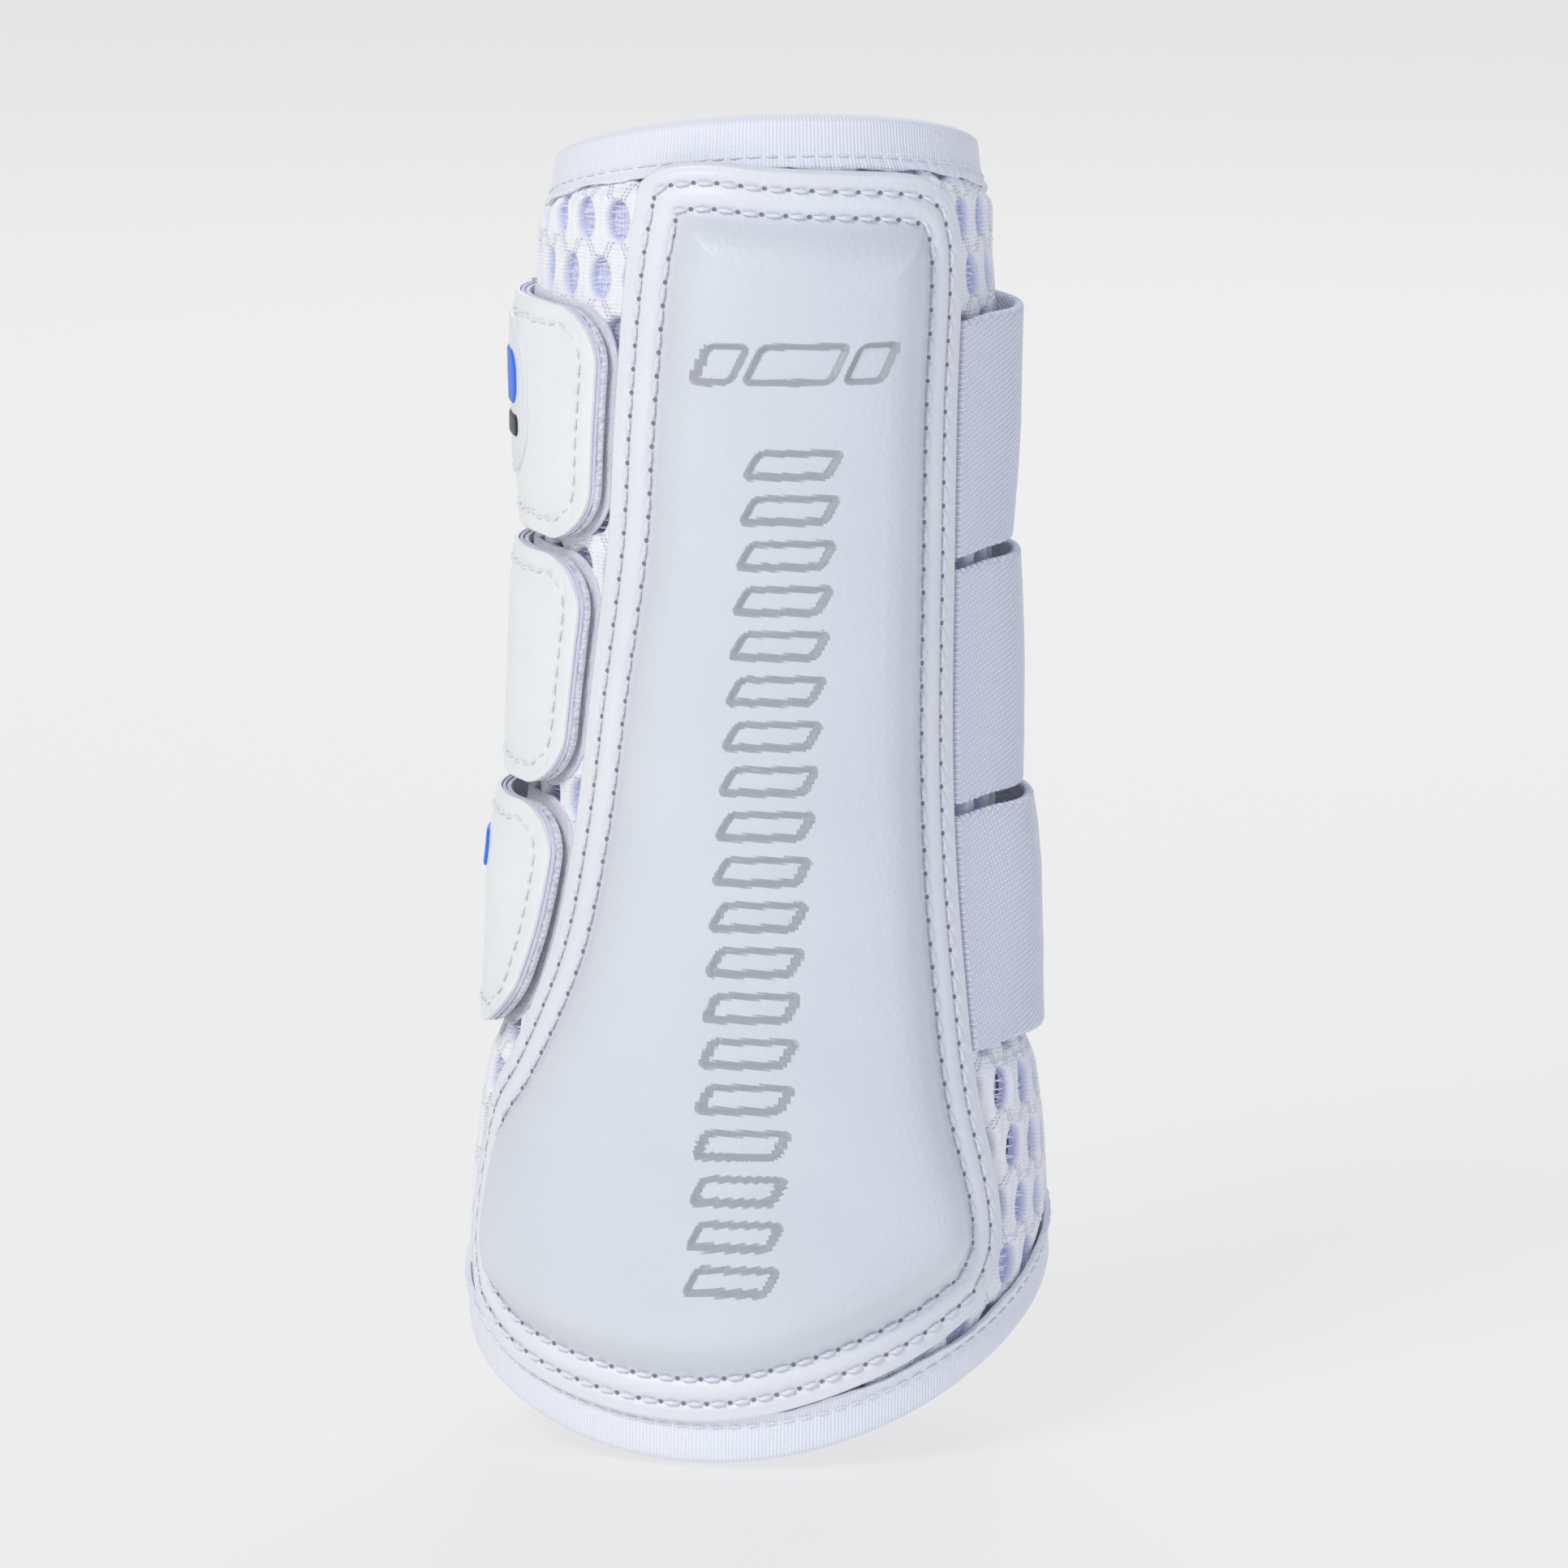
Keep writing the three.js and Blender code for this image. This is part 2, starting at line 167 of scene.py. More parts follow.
def add_node(tree, kind, inputs=(), **settings):
    """Adds one shader node: settings are its own properties, inputs maps sockets to values or to outputs."""
    node = tree.nodes.new("ShaderNode" + kind)
    for key, value in settings.items():
        setattr(node, key, value)
    for socket, value in dict(inputs).items():
        if isinstance(value, bpy.types.NodeSocket):
            tree.links.new(value, node.inputs[socket])
        else:
            node.inputs[socket].default_value = value
    return node


def new_material(name, roughness, **sockets):
    """An empty material with its principled shader; sockets are uniform values set on the shader itself."""
    material = bpy.data.materials.new(name)
    material.use_nodes = True
    shader = material.node_tree.nodes["Principled BSDF"]
    shader.inputs["Roughness"].default_value = roughness
    for socket, value in sockets.items():
        shader.inputs[socket.replace("_", " ")].default_value = value
    return material, material.node_tree, shader


def relief(tree, shader, height, depth_mm):
    """Bumps the shader by a height between 0 and 1 that stands this many millimetres."""
    bump = add_node(tree, "Bump", {"Strength": 1.0, "Distance": depth_mm / 1000, "Height": height})
    tree.links.new(bump.outputs[0], shader.inputs["Normal"])


def two_colours(tree, shader, share, low, high):
    """Runs the shader's colour from low to high with a share between 0 and 1."""
    mix = add_node(tree, "Mix", {0: share, 6: linear(low), 7: linear(high)}, data_type="RGBA")
    tree.links.new(mix.outputs[2], shader.inputs["Base Color"])


# Polyester jersey, circular knitted: columns of small loops 0.9 mm apart make it matt and faintly ribbed.
jersey, tree, shader = new_material("knitted_jersey", 0.9, Sheen_Weight=0.3, Sheen_Roughness=0.5)
cloth = add_node(tree, "Attribute", attribute_name="cloth").outputs["Vector"]
loops = add_node(tree, "TexWave", {"Vector": cloth, "Scale": 350.0, "Distortion": 1.5,
                 "Detail Scale": 4.0}, bands_direction="X").outputs["Fac"]
patches = add_node(tree, "TexNoise", {"Vector": cloth, "Scale": 60.0, "Detail": 3.0}).outputs["Fac"]
two_colours(tree, shader, patches, "#CFD1DE", "#E2E3EC")
relief(tree, shader, loops, 0.12)

# Two places at the back, at -92 and -112 degrees round the leg, at the two ends of the flap's bend.
FLAP_BEND = [tuple(np.array([-0.05, on_leg(angle, 0, 0)[1], 0.0])) for angle in (-92, -112)]


def hang(piece, left):
    """The front and right go with the body; the back left is baked where it stands, with no parent."""
    if left > -100:
        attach(piece, "body")
    else:
        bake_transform(piece)


for name, left, right, node in (("lining_body", PAD_SEAM, WRAP_RIGHT, "body_lining"),
                                ("lining_flap", WRAP_LEFT, PAD_SEAM, "flap_lining")):
    angle, up = np.meshgrid(np.linspace(left, right, 90), np.linspace(0, 1, 90))
    low, high = bottom_edge(angle) + 0.4, top_edge(angle) - 0.4
    height = low + (high - low) * up
    ripple = 0.25 * np.sin(np.radians(angle) * 9 + height / 9) * np.sin(height / 13)
    outer = LINING_OUTER + rim_flare(angle, height)
    inner = outer - LINING_THICKNESS + ripple * ease(np.minimum(up, 1 - up) * 6)
    points, faces = closed_sheet(on_leg(angle, height, outer), on_leg(angle, height, inner))
    maps = np.concatenate([cloth_map(angle, height, outer), cloth_map(angle, height, inner)])
    lining = make_piece(name, points, faces, jersey, cloth=maps)
    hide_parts(node)
    hang(lining, left)

# ---- Spacer mesh wall ----
# Warp-knitted spacer fabric: an openwork face of oval holes on a brick layout, a fine net behind it, and
# yarns that hold the two apart. It is cut flat, wrapped round and thinned where the bindings are sewn down.
HOLE_PITCH, ROW_PITCH = 9.0, 11.2
HOLE_HALF_WIDTH, HOLE_HALF_HEIGHT = 2.7, 4.0
MESH_THICKNESS, EDGE_PINCH = 5.3, 3.6
TAPE_COVER, PINCH_REACH = 7.0, 4.5
HALF_STRAP = 22.5
STRAP_LEVELS = ((73.0, 2.25), (25.5, 1.6), (-22.0, 0.6))


def spline(points, count):
    """Uniform Catmull-Rom curve through the points, sampled at this many places evenly along its length."""
    points = np.array(points, float)
    padded = np.concatenate([points[:1], points, points[-1:]])
    t = np.linspace(0, len(points) - 1, 60 * len(points))
    i = np.minimum(t.astype(int), len(points) - 2)
    f = (t - i)[:, None]
    p0, p1, p2, p3 = (padded[i + k] for k in range(4))
    v0, v1 = (p2 - p0) / 2, (p3 - p1) / 2
    curve = ((2 * p1 - 2 * p2 + v0 + v1) * f ** 3 + (-3 * p1 + 3 * p2 - 2 * v0 - v1) * f ** 2 + v0 * f + p1)
    flat = curve * np.stack([np.radians(mean_radius(curve[:, 1])), np.ones(len(curve))], axis=1)
    length = np.concatenate([[0], np.cumsum(np.hypot(*np.diff(flat, axis=0).T))])
    even = np.linspace(0, length[-1], count)
    return np.stack([np.interp(even, length, curve[:, k]) for k in (0, 1)], axis=1)


# The strike pad's outline in degrees and millimetres, from its top left corner round by the left side.
PAD_LEFT_RUN = [(-32, 122), (-36, 105), (-39.2, 76), (-41, 53), (-46.5, 23), (-50.2, -2), (-55, -25),
                (-65, -45), (-74, -56), (-76.3, -68), (-75.5, -85), (-69.5, -98)]
PAD_BOTTOM_RUN = [(-69.5, -98), (-54, -106.5), (-29, -112.6), (-8, -113.6), (10, -110), (31, -102.5),
                  (47.5, -94)]
PAD_RIGHT_RUN = [(47.5, -94), (54, -84), (55, -72), (52, -52), (52, -28), (52.3, 5), (53, 40), (53.5, 76),
                 (55, 107), (51, 118.5)]
PAD_TOP_RUN = [(51, 118.5), (44.5, 122), (33, 124), (2, 125.4), (-14, 126.4), (-26, 125.2), (-32, 122)]
pad_left = spline(PAD_LEFT_RUN, 460)
pad_right = spline(PAD_RIGHT_RUN, 430)
pad_loop = np.concatenate([pad_left[:-1], spline(PAD_BOTTOM_RUN, 260)[:-1], pad_right[:-1],
                           spline(PAD_TOP_RUN, 150)[:-1]])


def flattened(angle, height):
    """The wrap laid flat, in millimetres: across is the length round the leg at that height."""
    return np.stack([np.radians(angle) * mean_radius(height), height + 0 * angle], axis=-1)


def distance_to(loop, places):
    """Least distance from each place to a closed line of points, taken to its segments a block at a time."""
    start, along = loop, np.roll(loop, -1, axis=0) - loop
    square = np.maximum((along ** 2).sum(1), 1e-9)
    flat = places.reshape(-1, 2)
    best = np.empty(len(flat))
    for first in range(0, len(flat), 4000):
        gap = flat[first:first + 4000, None] - start
        share = np.clip((gap * along).sum(2) / square, 0, 1)
        best[first:first + 4000] = np.sqrt(((gap - share[..., None] * along) ** 2).sum(2).min(1))
    return best.reshape(places.shape[:-1])


def inside(loop, places):
    """True inside a closed line: a ray from the place crosses it an odd number of times."""
    x, y = places[..., 0, None], places[..., 1, None]
    x0, y0 = loop[:, 0], loop[:, 1]
    x1, y1 = np.roll(x0, -1), np.roll(y0, -1)
    crosses = (y0 > y) != (y1 > y)
    rise = np.where(y1 == y0, 1e-9, y1 - y0)
    return (crosses & (x < x0 + (y - y0) * (x1 - x0) / rise)).sum(-1) % 2 == 1


pad_outline = flattened(pad_loop[:, 0], pad_loop[:, 1])
coarse_outline = pad_outline[::5]


def wall_stand(angle, height, left, right):
    """How far the mesh face stands from the even wall: pinched at bound edges, puffed where it is free."""
    radius = mean_radius(height)
    sides = np.radians(right - angle) * radius if right > 0 else np.radians(angle - left) * radius
    edge = np.minimum(np.minimum(top_edge(angle) - height, height - bottom_edge(angle)), sides)
    pinch = 1 - ease((edge - TAPE_COVER) / PINCH_REACH)
    pad_gap = distance_to(coarse_outline, flattened(angle, height))
    free = ease((pad_gap - 0.8) / 3) * ~inside(coarse_outline, flattened(angle, height))
    puff = 1.9 * ease((-44 - height) / 9) * (1 - ease((-58 - height) / 40))
    puff = puff - 0.4 * ease((height - 99) / 8)
    wave = 0.35 * np.sin(np.radians(angle) * 5 + 1.0) * np.sin(height / 11)
    return (puff + wave) * free * (1 - pinch) - (EDGE_PINCH - rim_flare(angle, height)) * pinch


side = np.arange(8) / 8
square = np.concatenate([
    np.stack([side - 0.5, np.full(8, -0.5)], 1), np.stack([np.full(8, 0.5), side - 0.5], 1),
    np.stack([0.5 - side, np.full(8, 0.5)], 1), np.stack([np.full(8, -0.5), 0.5 - side], 1)])
turn = np.arctan2(square[:, 1], square[:, 0])
oval = np.stack([HOLE_HALF_WIDTH * np.cos(turn), HOLE_HALF_HEIGHT * np.sin(turn)], 1)
border = square * [HOLE_PITCH, ROW_PITCH]


def honeycomb(left, right):
    """One cell of rings per hole, on a brick layout: its border, a rounded rib and a lip down to the net."""
    mid = oval * 1.22
    rings = [(border, 0.0), ((border + mid) / 2, 0.28), (mid, 0.12), (oval * 1.04, -0.35),
             (oval * 0.97, -1.0), (oval * 0.95, -2.5)]
    sign = 1 if right > 0 else -1
    reach = np.radians(abs((right if right > 0 else left) - PAD_SEAM)) * FETLOCK_HALF_WIDTH
    rows = np.arange(-13, 14)
    columns = np.arange(-1, int(reach / HOLE_PITCH) + 2)
    row, column = (grid.ravel() for grid in np.meshgrid(rows, columns))
    centre = np.stack([(column + 0.5 + 0.5 * (row % 2)) * HOLE_PITCH, row * ROW_PITCH + 2.0], axis=1)
    local = np.stack([ring for ring, _ in rings])[None] * [sign, 1]
    place = centre[:, None, None, :] * [1, 1] + np.stack([ring for ring, _ in rings])[None]
    dip = np.array([depth for _, depth in rings])[None, :, None] + 0 * place[..., 0]
    across, height = place[..., 0], np.clip(place[..., 1], -125, 137)
    for _ in range(2):
        angle = PAD_SEAM + sign * np.degrees(np.maximum(across, 0) / mean_radius(height))
        angle = np.clip(angle, left, right)
        height = np.clip(height, bottom_edge(angle), top_edge(angle))
    tall, wide = (np.ptp(grid.reshape(len(centre), -1), axis=1) for grid in (height, angle))
    keep = (tall > 1.0) & (wide > 0.5)
    local = np.broadcast_to(local, place.shape)
    angle, height, dip, local = (grid[keep] for grid in (angle, height, dip, local))
    stand = wall_stand(angle, height, left, right)
    dip = np.where(dip < 0, dip * (1 + stand.clip(-3.2, 0) / MESH_THICKNESS), dip)
    points = on_leg(angle, height, stand + dip)
    cells, count = points.shape[0], len(rings)
    vertex = np.arange(cells * count * 32).reshape(cells, count, 32)
    following = np.roll(vertex, -1, axis=2)
    faces = ring_faces(vertex, following)
    if sign < 0:
        faces = faces[:, ::-1]
    cloth = cloth_map(angle, height, dip)
    hole = np.concatenate([local.reshape(-1, 2), dip.reshape(-1, 1)], axis=1) / 1000
    return points.reshape(-1, 3), faces, cloth, hole, centre[keep], angle[:, 0].mean(1), height[:, 0].mean(1)


# Textured polyester yarn, knitted: a soft matt face with a fine stitch grain, and rows of tiny openings that
# run slantwise from hole to hole where the knit changes direction.
spacer, tree, shader = new_material("knitted_spacer_mesh", 0.82, Sheen_Weight=0.4, Sheen_Roughness=0.45)
cloth = add_node(tree, "Attribute", attribute_name="cloth").outputs["Vector"]
hole = add_node(tree, "Attribute", attribute_name="hole").outputs["Vector"]
parts = add_node(tree, "SeparateXYZ", {0: hole})
aside = add_node(tree, "Math", {0: parts.outputs[0]}, operation="ABSOLUTE").outputs[0]
above = add_node(tree, "Math", {0: parts.outputs[1]}, operation="ABSOLUTE").outputs[0]
past = add_node(tree, "Math", {0: above, 1: 0.0041}, operation="SUBTRACT").outputs[0]
lean = add_node(tree, "Math", {0: past, 1: 0.5}, operation="MULTIPLY").outputs[0]
off = add_node(tree, "Math", {0: aside, 1: lean}, operation="SUBTRACT").outputs[0]
off_line = add_node(tree, "Math", {0: off, 1: 0.0015}, operation="SUBTRACT").outputs[0]
from_pair = add_node(tree, "Math", {0: off_line}, operation="ABSOLUTE").outputs[0]
from_slit = add_node(tree, "Math", {0: from_pair, 1: 0.0005}, operation="SUBTRACT").outputs[0]
near = add_node(tree, "Math", {0: from_slit}, operation="ABSOLUTE").outputs[0]
on_slit = add_node(tree, "MapRange", {"Value": near, "From Min": 0.00012, "From Max": 0.00028,
                   "To Min": 1.0, "To Max": 0.0}, interpolation_type="SMOOTHSTEP").outputs[0]
beat = add_node(tree, "Math", {0: past, 1: 9000.0}, operation="MULTIPLY").outputs[0]
dash = add_node(tree, "Math", {0: beat}, operation="SINE").outputs[0]
broken = add_node(tree, "MapRange", {"Value": dash, "From Min": -0.4, "From Max": 0.2}).outputs[0]
beyond = add_node(tree, "Math", {0: past, 1: -0.0001}, operation="GREATER_THAN").outputs[0]
slit_part = add_node(tree, "Math", {0: on_slit, 1: broken}, operation="MULTIPLY").outputs[0]
slit = add_node(tree, "Math", {0: slit_part, 1: beyond}, operation="MULTIPLY").outputs[0]
stitch_grain = add_node(tree, "TexVoronoi", {"Vector": cloth, "Scale": 1700.0},
                        distance="CHEBYCHEV").outputs["Distance"]
ripple = add_node(tree, "TexWave", {"Vector": cloth, "Scale": 420.0, "Distortion": 2.0},
                  bands_direction="Y").outputs["Fac"]
knit = add_node(tree, "Math", {0: stitch_grain, 1: ripple}, operation="ADD").outputs[0]
sunk = add_node(tree, "Math", {0: slit, 1: -2.5}, operation="MULTIPLY").outputs[0]
surface = add_node(tree, "Math", {0: knit, 1: sunk}, operation="ADD").outputs[0]
relief(tree, shader, surface, 0.08)
# Painted shade: the colour darkens down each hole's lip towards the net, and in the slits.
depth = add_node(tree, "MapRange", {"Value": parts.outputs[2], "From Min": -0.0018,
                 "From Max": 0.0002}).outputs[0]
lit = add_node(tree, "Math", {0: depth, 1: slit}, operation="SUBTRACT", use_clamp=True).outputs[0]
two_colours(tree, shader, lit, "#DAE0FB", "#FCFDFF")

# The net behind the holes: fine monofilament in rows of dots, half in shadow: its colours are painted a
# little darker than the face's, as shade down in the holes.
net_yarn, tree, shader = new_material("knitted_net_backing", 0.8)
cloth = add_node(tree, "Attribute", attribute_name="cloth").outputs["Vector"]
dots = add_node(tree, "TexVoronoi", {"Vector": cloth, "Scale": 1150.0,
                "Randomness": 0.35}).outputs["Distance"]
pores = add_node(tree, "MapRange", {"Value": dots, "From Min": 0.25, "From Max": 0.55}).outputs[0]
two_colours(tree, shader, pores, "#F1F4FF", "#D0D6F0")
relief(tree, shader, dots, 0.2)

mesh_cells = {}
for name, left, right, node in (("mesh_body", PAD_SEAM, WRAP_RIGHT, "body_mesh_panel"),
                                ("mesh_flap", WRAP_LEFT, PAD_SEAM, "flap_mesh_panel")):
    points, faces, cloth_points, hole_points, *cells = honeycomb(left, right)
    wall = make_piece(name, points, faces, spacer, cloth=cloth_points, hole=hole_points)
    angle, up = np.meshgrid(np.linspace(left, right, 110), np.linspace(0, 1, 120))
    low, high = bottom_edge(angle), top_edge(angle)
    height = low + (high - low) * up
    stand = wall_stand(angle, height, left, right)
    back = rim_flare(angle, height) - 5.25
    outer = np.maximum(-2.3 + stand * 0.6, back + 0.35)
    net = cloth_piece(name.replace("mesh", "net"), angle, height, outer, back, net_yarn)
    mesh_cells[name] = cells
    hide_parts(node)
    for piece in (wall, net):
        hang(piece, left)

# Spacer yarns: loose strands of monofilament that cross each hole at different depths, bowed by the knitting.
STRANDS, STRAND_WIDTH = 9, 0.28
yarn, tree, shader = new_material("spacer_monofilament", 0.45)
cloth = add_node(tree, "Attribute", attribute_name="cloth").outputs["Vector"]
shades = add_node(tree, "TexNoise", {"Vector": cloth, "Scale": 900.0}).outputs["Fac"]
two_colours(tree, shader, shades, "#D5D7EA", "#F6F7FD")
for name, cells in mesh_cells.items():
    centre, angle, height = cells
    sign = 1 if name == "mesh_body" else -1
    left, right = (PAD_SEAM, WRAP_RIGHT) if sign > 0 else (WRAP_LEFT, PAD_SEAM)
    spot = flattened(angle, height)
    clear = ~inside(coarse_outline, spot) | (distance_to(coarse_outline, spot) < 4)
    clear &= (height < top_edge(angle) - 8) & (height > bottom_edge(angle) + 8)
    clear &= centre[:, 0] > 1
    centre = centre[clear]
    chance = np.random.default_rng(7)
    shape = (len(centre), STRANDS)
    level = (np.arange(STRANDS) + 0.5) / STRANDS * 2 - 1
    level = level + chance.uniform(-0.08, 0.08, shape)
    bow, tilt = chance.uniform(-0.9, 0.9, shape), chance.uniform(-0.5, 0.5, shape)
    deep = chance.uniform(-2.0, -1.1, shape)
    t = np.linspace(-1, 1, 5)
    reach = HOLE_HALF_WIDTH * np.sqrt(np.maximum(1 - level ** 2, 0.02))[..., None] * 1.02
    x = centre[:, None, None, 0] + t * reach
    z = centre[:, None, None, 1] + (level * HOLE_HALF_HEIGHT)[..., None]
    z = z + bow[..., None] * (1 - t ** 2) * 0.6 + tilt[..., None] * t
    out = deep[..., None] + 0.5 * (1 - t ** 2)
    x, z, out = (np.stack([value, value], axis=-1) for value in (x, z, out))
    z = z + np.array([-0.5, 0.5]) * STRAND_WIDTH
    out = out + np.array([-0.06, 0.06])
    strand_angle = np.clip(PAD_SEAM + sign * np.degrees(np.maximum(x, 0) / mean_radius(z)), left, right)
    stand = wall_stand(strand_angle, z, left, right)
    points = on_leg(strand_angle, z, stand + out).reshape(-1, 3)
    vertex = np.arange(len(points)).reshape(-1, 5, 2)
    quads = [vertex[:, :-1, 0], vertex[:, 1:, 0], vertex[:, 1:, 1], vertex[:, :-1, 1]]
    faces = np.stack(quads, axis=-1).reshape(-1, 4)
    if sign < 0:
        faces = faces[:, ::-1]
    maps = cloth_map(strand_angle, z, out)
    strands = make_piece(name.replace("mesh", "yarns"), points, faces, yarn, cloth=maps)
    hang(strands, left)

# ---- Binding tapes ----
# Ribbed grosgrain tape, 1 mm thick, folded over every edge and sewn through with one row of lockstitch.
# The cloth under it takes up unevenly, so its lower edge wanders and the tape puckers between stitches.
TAPE_WIDTH, TAPE_THICKNESS = 10.0, 1.0
TAPE_OUTSIDE, TAPE_INSIDE = -3.28, -7.72
RIB_PITCH = 0.71
STITCH_FROM_LIP = 2.4
TAPE_FACE = TAPE_OUTSIDE + TAPE_THICKNESS + 0.02

# Grosgrain, a plain weave with thick weft: ribs 0.71 mm apart across the tape, broken into beads by the warp.
grosgrain, tree, shader = new_material("grosgrain_tape", 0.75, Sheen_Weight=0.25)
tape = add_node(tree, "Attribute", attribute_name="tape").outputs["Vector"]
ribs = add_node(tree, "TexWave", {"Vector": tape, "Scale": 314.16 / RIB_PITCH},
                bands_direction="X").outputs["Fac"]
beads = add_node(tree, "TexWave", {"Vector": tape, "Scale": 560.0, "Distortion": 0.6},
                 bands_direction="Y").outputs["Fac"]
weave = add_node(tree, "Math", {0: beads, 1: 0.45, 2: ribs}, operation="MULTIPLY_ADD").outputs[0]
relief(tree, shader, weave, 0.09)
# Painted shade: the colour follows the weave, darker in the grooves between the ribs and beads.
weave_shade_share = add_node(tree, "MapRange", {"Value": weave, "From Min": 0.1,
                        "From Max": 0.8}).outputs[0]
two_colours(tree, shader, weave_shade_share, "#E7ECFC", "#F9FBFF")

fold = np.linspace(0, np.pi, 9)
FOLD_RADIUS = (TAPE_OUTSIDE + TAPE_THICKNESS - TAPE_INSIDE + TAPE_THICKNESS) / 2
fold_middle = (TAPE_OUTSIDE + TAPE_INSIDE) / 2
legs = np.array([0.0, 0.25, 0.7, 1.5, 2.4, 3.4, 5.0, 6.6, 8.2]) - TAPE_WIDTH + 1.3
outer_line = np.concatenate([
    np.stack([np.full(9, TAPE_OUTSIDE + TAPE_THICKNESS), legs], 1),
    np.stack([fold_middle + FOLD_RADIUS * np.cos(fold[1:-1]), -0.2 + 1.5 * np.sin(fold[1:-1])], 1),
    np.stack([np.full(9, TAPE_INSIDE - TAPE_THICKNESS), legs[::-1]], 1)])
inner_line = np.concatenate([
    np.stack([np.full(9, TAPE_OUTSIDE), legs], 1),
    np.stack([fold_middle + (FOLD_RADIUS - 1) * np.cos(fold[1:-1]), -0.2 + 0.6 * np.sin(fold[1:-1])], 1),
    np.stack([np.full(9, TAPE_INSIDE), legs[::-1]], 1)])


def folded_tape(name, path, run, material):
    """Carries the folded section along an edge: path(run, in from the edge, out) gives points, run in degrees
    or mm. The outer leg swells between stitches, and its lip wanders by a sum of slow waves."""
    position = run[:, None]
    wander = 0.22 * np.sin(position / 3.1) + 0.25 * np.sin(position / 7.7 + 2) + 0.05 * np.sin(position * 1.3)
    lines = []
    for line, outside in ((outer_line, True), (inner_line, False)):
        out, along = line[:, 0][None], line[:, 1][None]
        lip = ease((-along - 3.0) / 5.0) * (np.arange(len(line)) < 12)
        along = along + wander * lip
        from_row = np.abs(along + TAPE_WIDTH - 1.3 - STITCH_FROM_LIP)
        swell = (0.32 * ease(from_row / 2.2) + 0.07 * np.sin(position * 1.7)) * lip * outside
        from_lip = along + TAPE_WIDTH - 1.3
        tip = 0.35 * (1 - ease(from_lip / 0.6)) * lip * outside
        turned_out = 0.9 * (1 - ease(from_lip / 2.2)) * (np.arange(len(line)) < 9)
        lines.append((position + 0 * along, along, out + swell - tip + turned_out))
    grids = [path(*line) for line in lines]
    points, faces = closed_sheet(*(np.swapaxes(grid, 0, 1) for grid in grids))
    length = np.concatenate([[0], np.cumsum(np.linalg.norm(np.diff(grids[0][:, 8], axis=0), axis=1))])
    reach = np.concatenate([[0], np.cumsum(np.hypot(*np.diff(outer_line, axis=0).T))]) / 1000
    across, along = np.meshgrid(length, reach)
    coordinates = np.stack([across, along, 0 * along], axis=-1).reshape(-1, 3)
    tape = make_piece(name, points, faces, material, tape=np.concatenate([coordinates, coordinates]))
    return tape


def evenly_along(path, outward, pitch, first):
    """Places a pitch apart along a line of points, from the first one on: middle, way up and way ahead."""
    run = np.concatenate([[0], np.cumsum(np.linalg.norm(np.diff(path, axis=0), axis=1))])
    centres = np.arange(first / 1000, run[-1], pitch / 1000)

    def read(line, at):
        return np.stack([np.interp(at, run, line[:, k]) for k in range(3)], 1)

    ahead = read(path, centres + 1e-4) - read(path, centres - 1e-4)
    return read(path, centres), read(outward, centres), ahead / np.linalg.norm(ahead, axis=1, keepdims=True)


def lockstitches(name, path, outward, pitch, length, radius, material, lie=0.0):
    """Stitches of two-ply thread evenly along a line of points: each is a short bowed tube whose ends dive
    in, and whose section has two lobes that turn once along it."""
    middle, up, ahead = evenly_along(path, outward, pitch, pitch / 2)
    aside = np.cross(up, ahead)
    aside /= np.linalg.norm(aside, axis=1, keepdims=True)
    t, ring = np.linspace(-1, 1, 7), np.linspace(0, 2 * np.pi, 7)[:-1]
    lobes = 1 + 0.22 * np.cos(2 * (ring - np.pi * t[:, None]))
    thick = radius * np.sqrt(np.maximum(1 - t ** 6, 0.05))[:, None] * lobes
    shift = t[:, None] * length / 2
    rise = lie + radius * 1.5 * (1 - t[:, None] ** 4) - radius * 0.9 * t[:, None] ** 4
    x = aside[:, None, None] * (thick * np.cos(ring))[None, ..., None]
    z = up[:, None, None] * (rise + thick * np.sin(ring))[None, ..., None]
    y = ahead[:, None, None] * (shift + 0 * ring)[None, ..., None]
    points = middle[:, None, None] + (x + y + z) / 1000
    vertex = np.arange(points[..., 0].size).reshape(len(middle), 7, 6)
    next_ring = np.roll(vertex, -1, axis=2)
    tube = [vertex[:, :-1], vertex[:, 1:], next_ring[:, 1:], next_ring[:, :-1]]
    tube = np.stack(tube, axis=-1).reshape(-1, 4)
    caps = np.concatenate([vertex[:, 0, [0, 1, 2, 3]], vertex[:, 0, [0, 3, 4, 5]],
                           vertex[:, -1, [3, 2, 1, 0]], vertex[:, -1, [5, 4, 3, 0]]])
    return make_piece(name, points.reshape(-1, 3), np.concatenate([tube, caps]), material)


# Bonded polyester sewing thread: white, smooth and a little glossy, with a fine twist.
thread, tree, shader = new_material("polyester_thread", 0.5, Sheen_Weight=0.2)
place = add_node(tree, "TexCoord").outputs["Object"]
fibres = add_node(tree, "TexNoise", {"Vector": place, "Scale": 2500.0}).outputs["Fac"]
two_colours(tree, shader, fibres, "#DFE1EC", "#FBFBFF")
relief(tree, shader, fibres, 0.05)

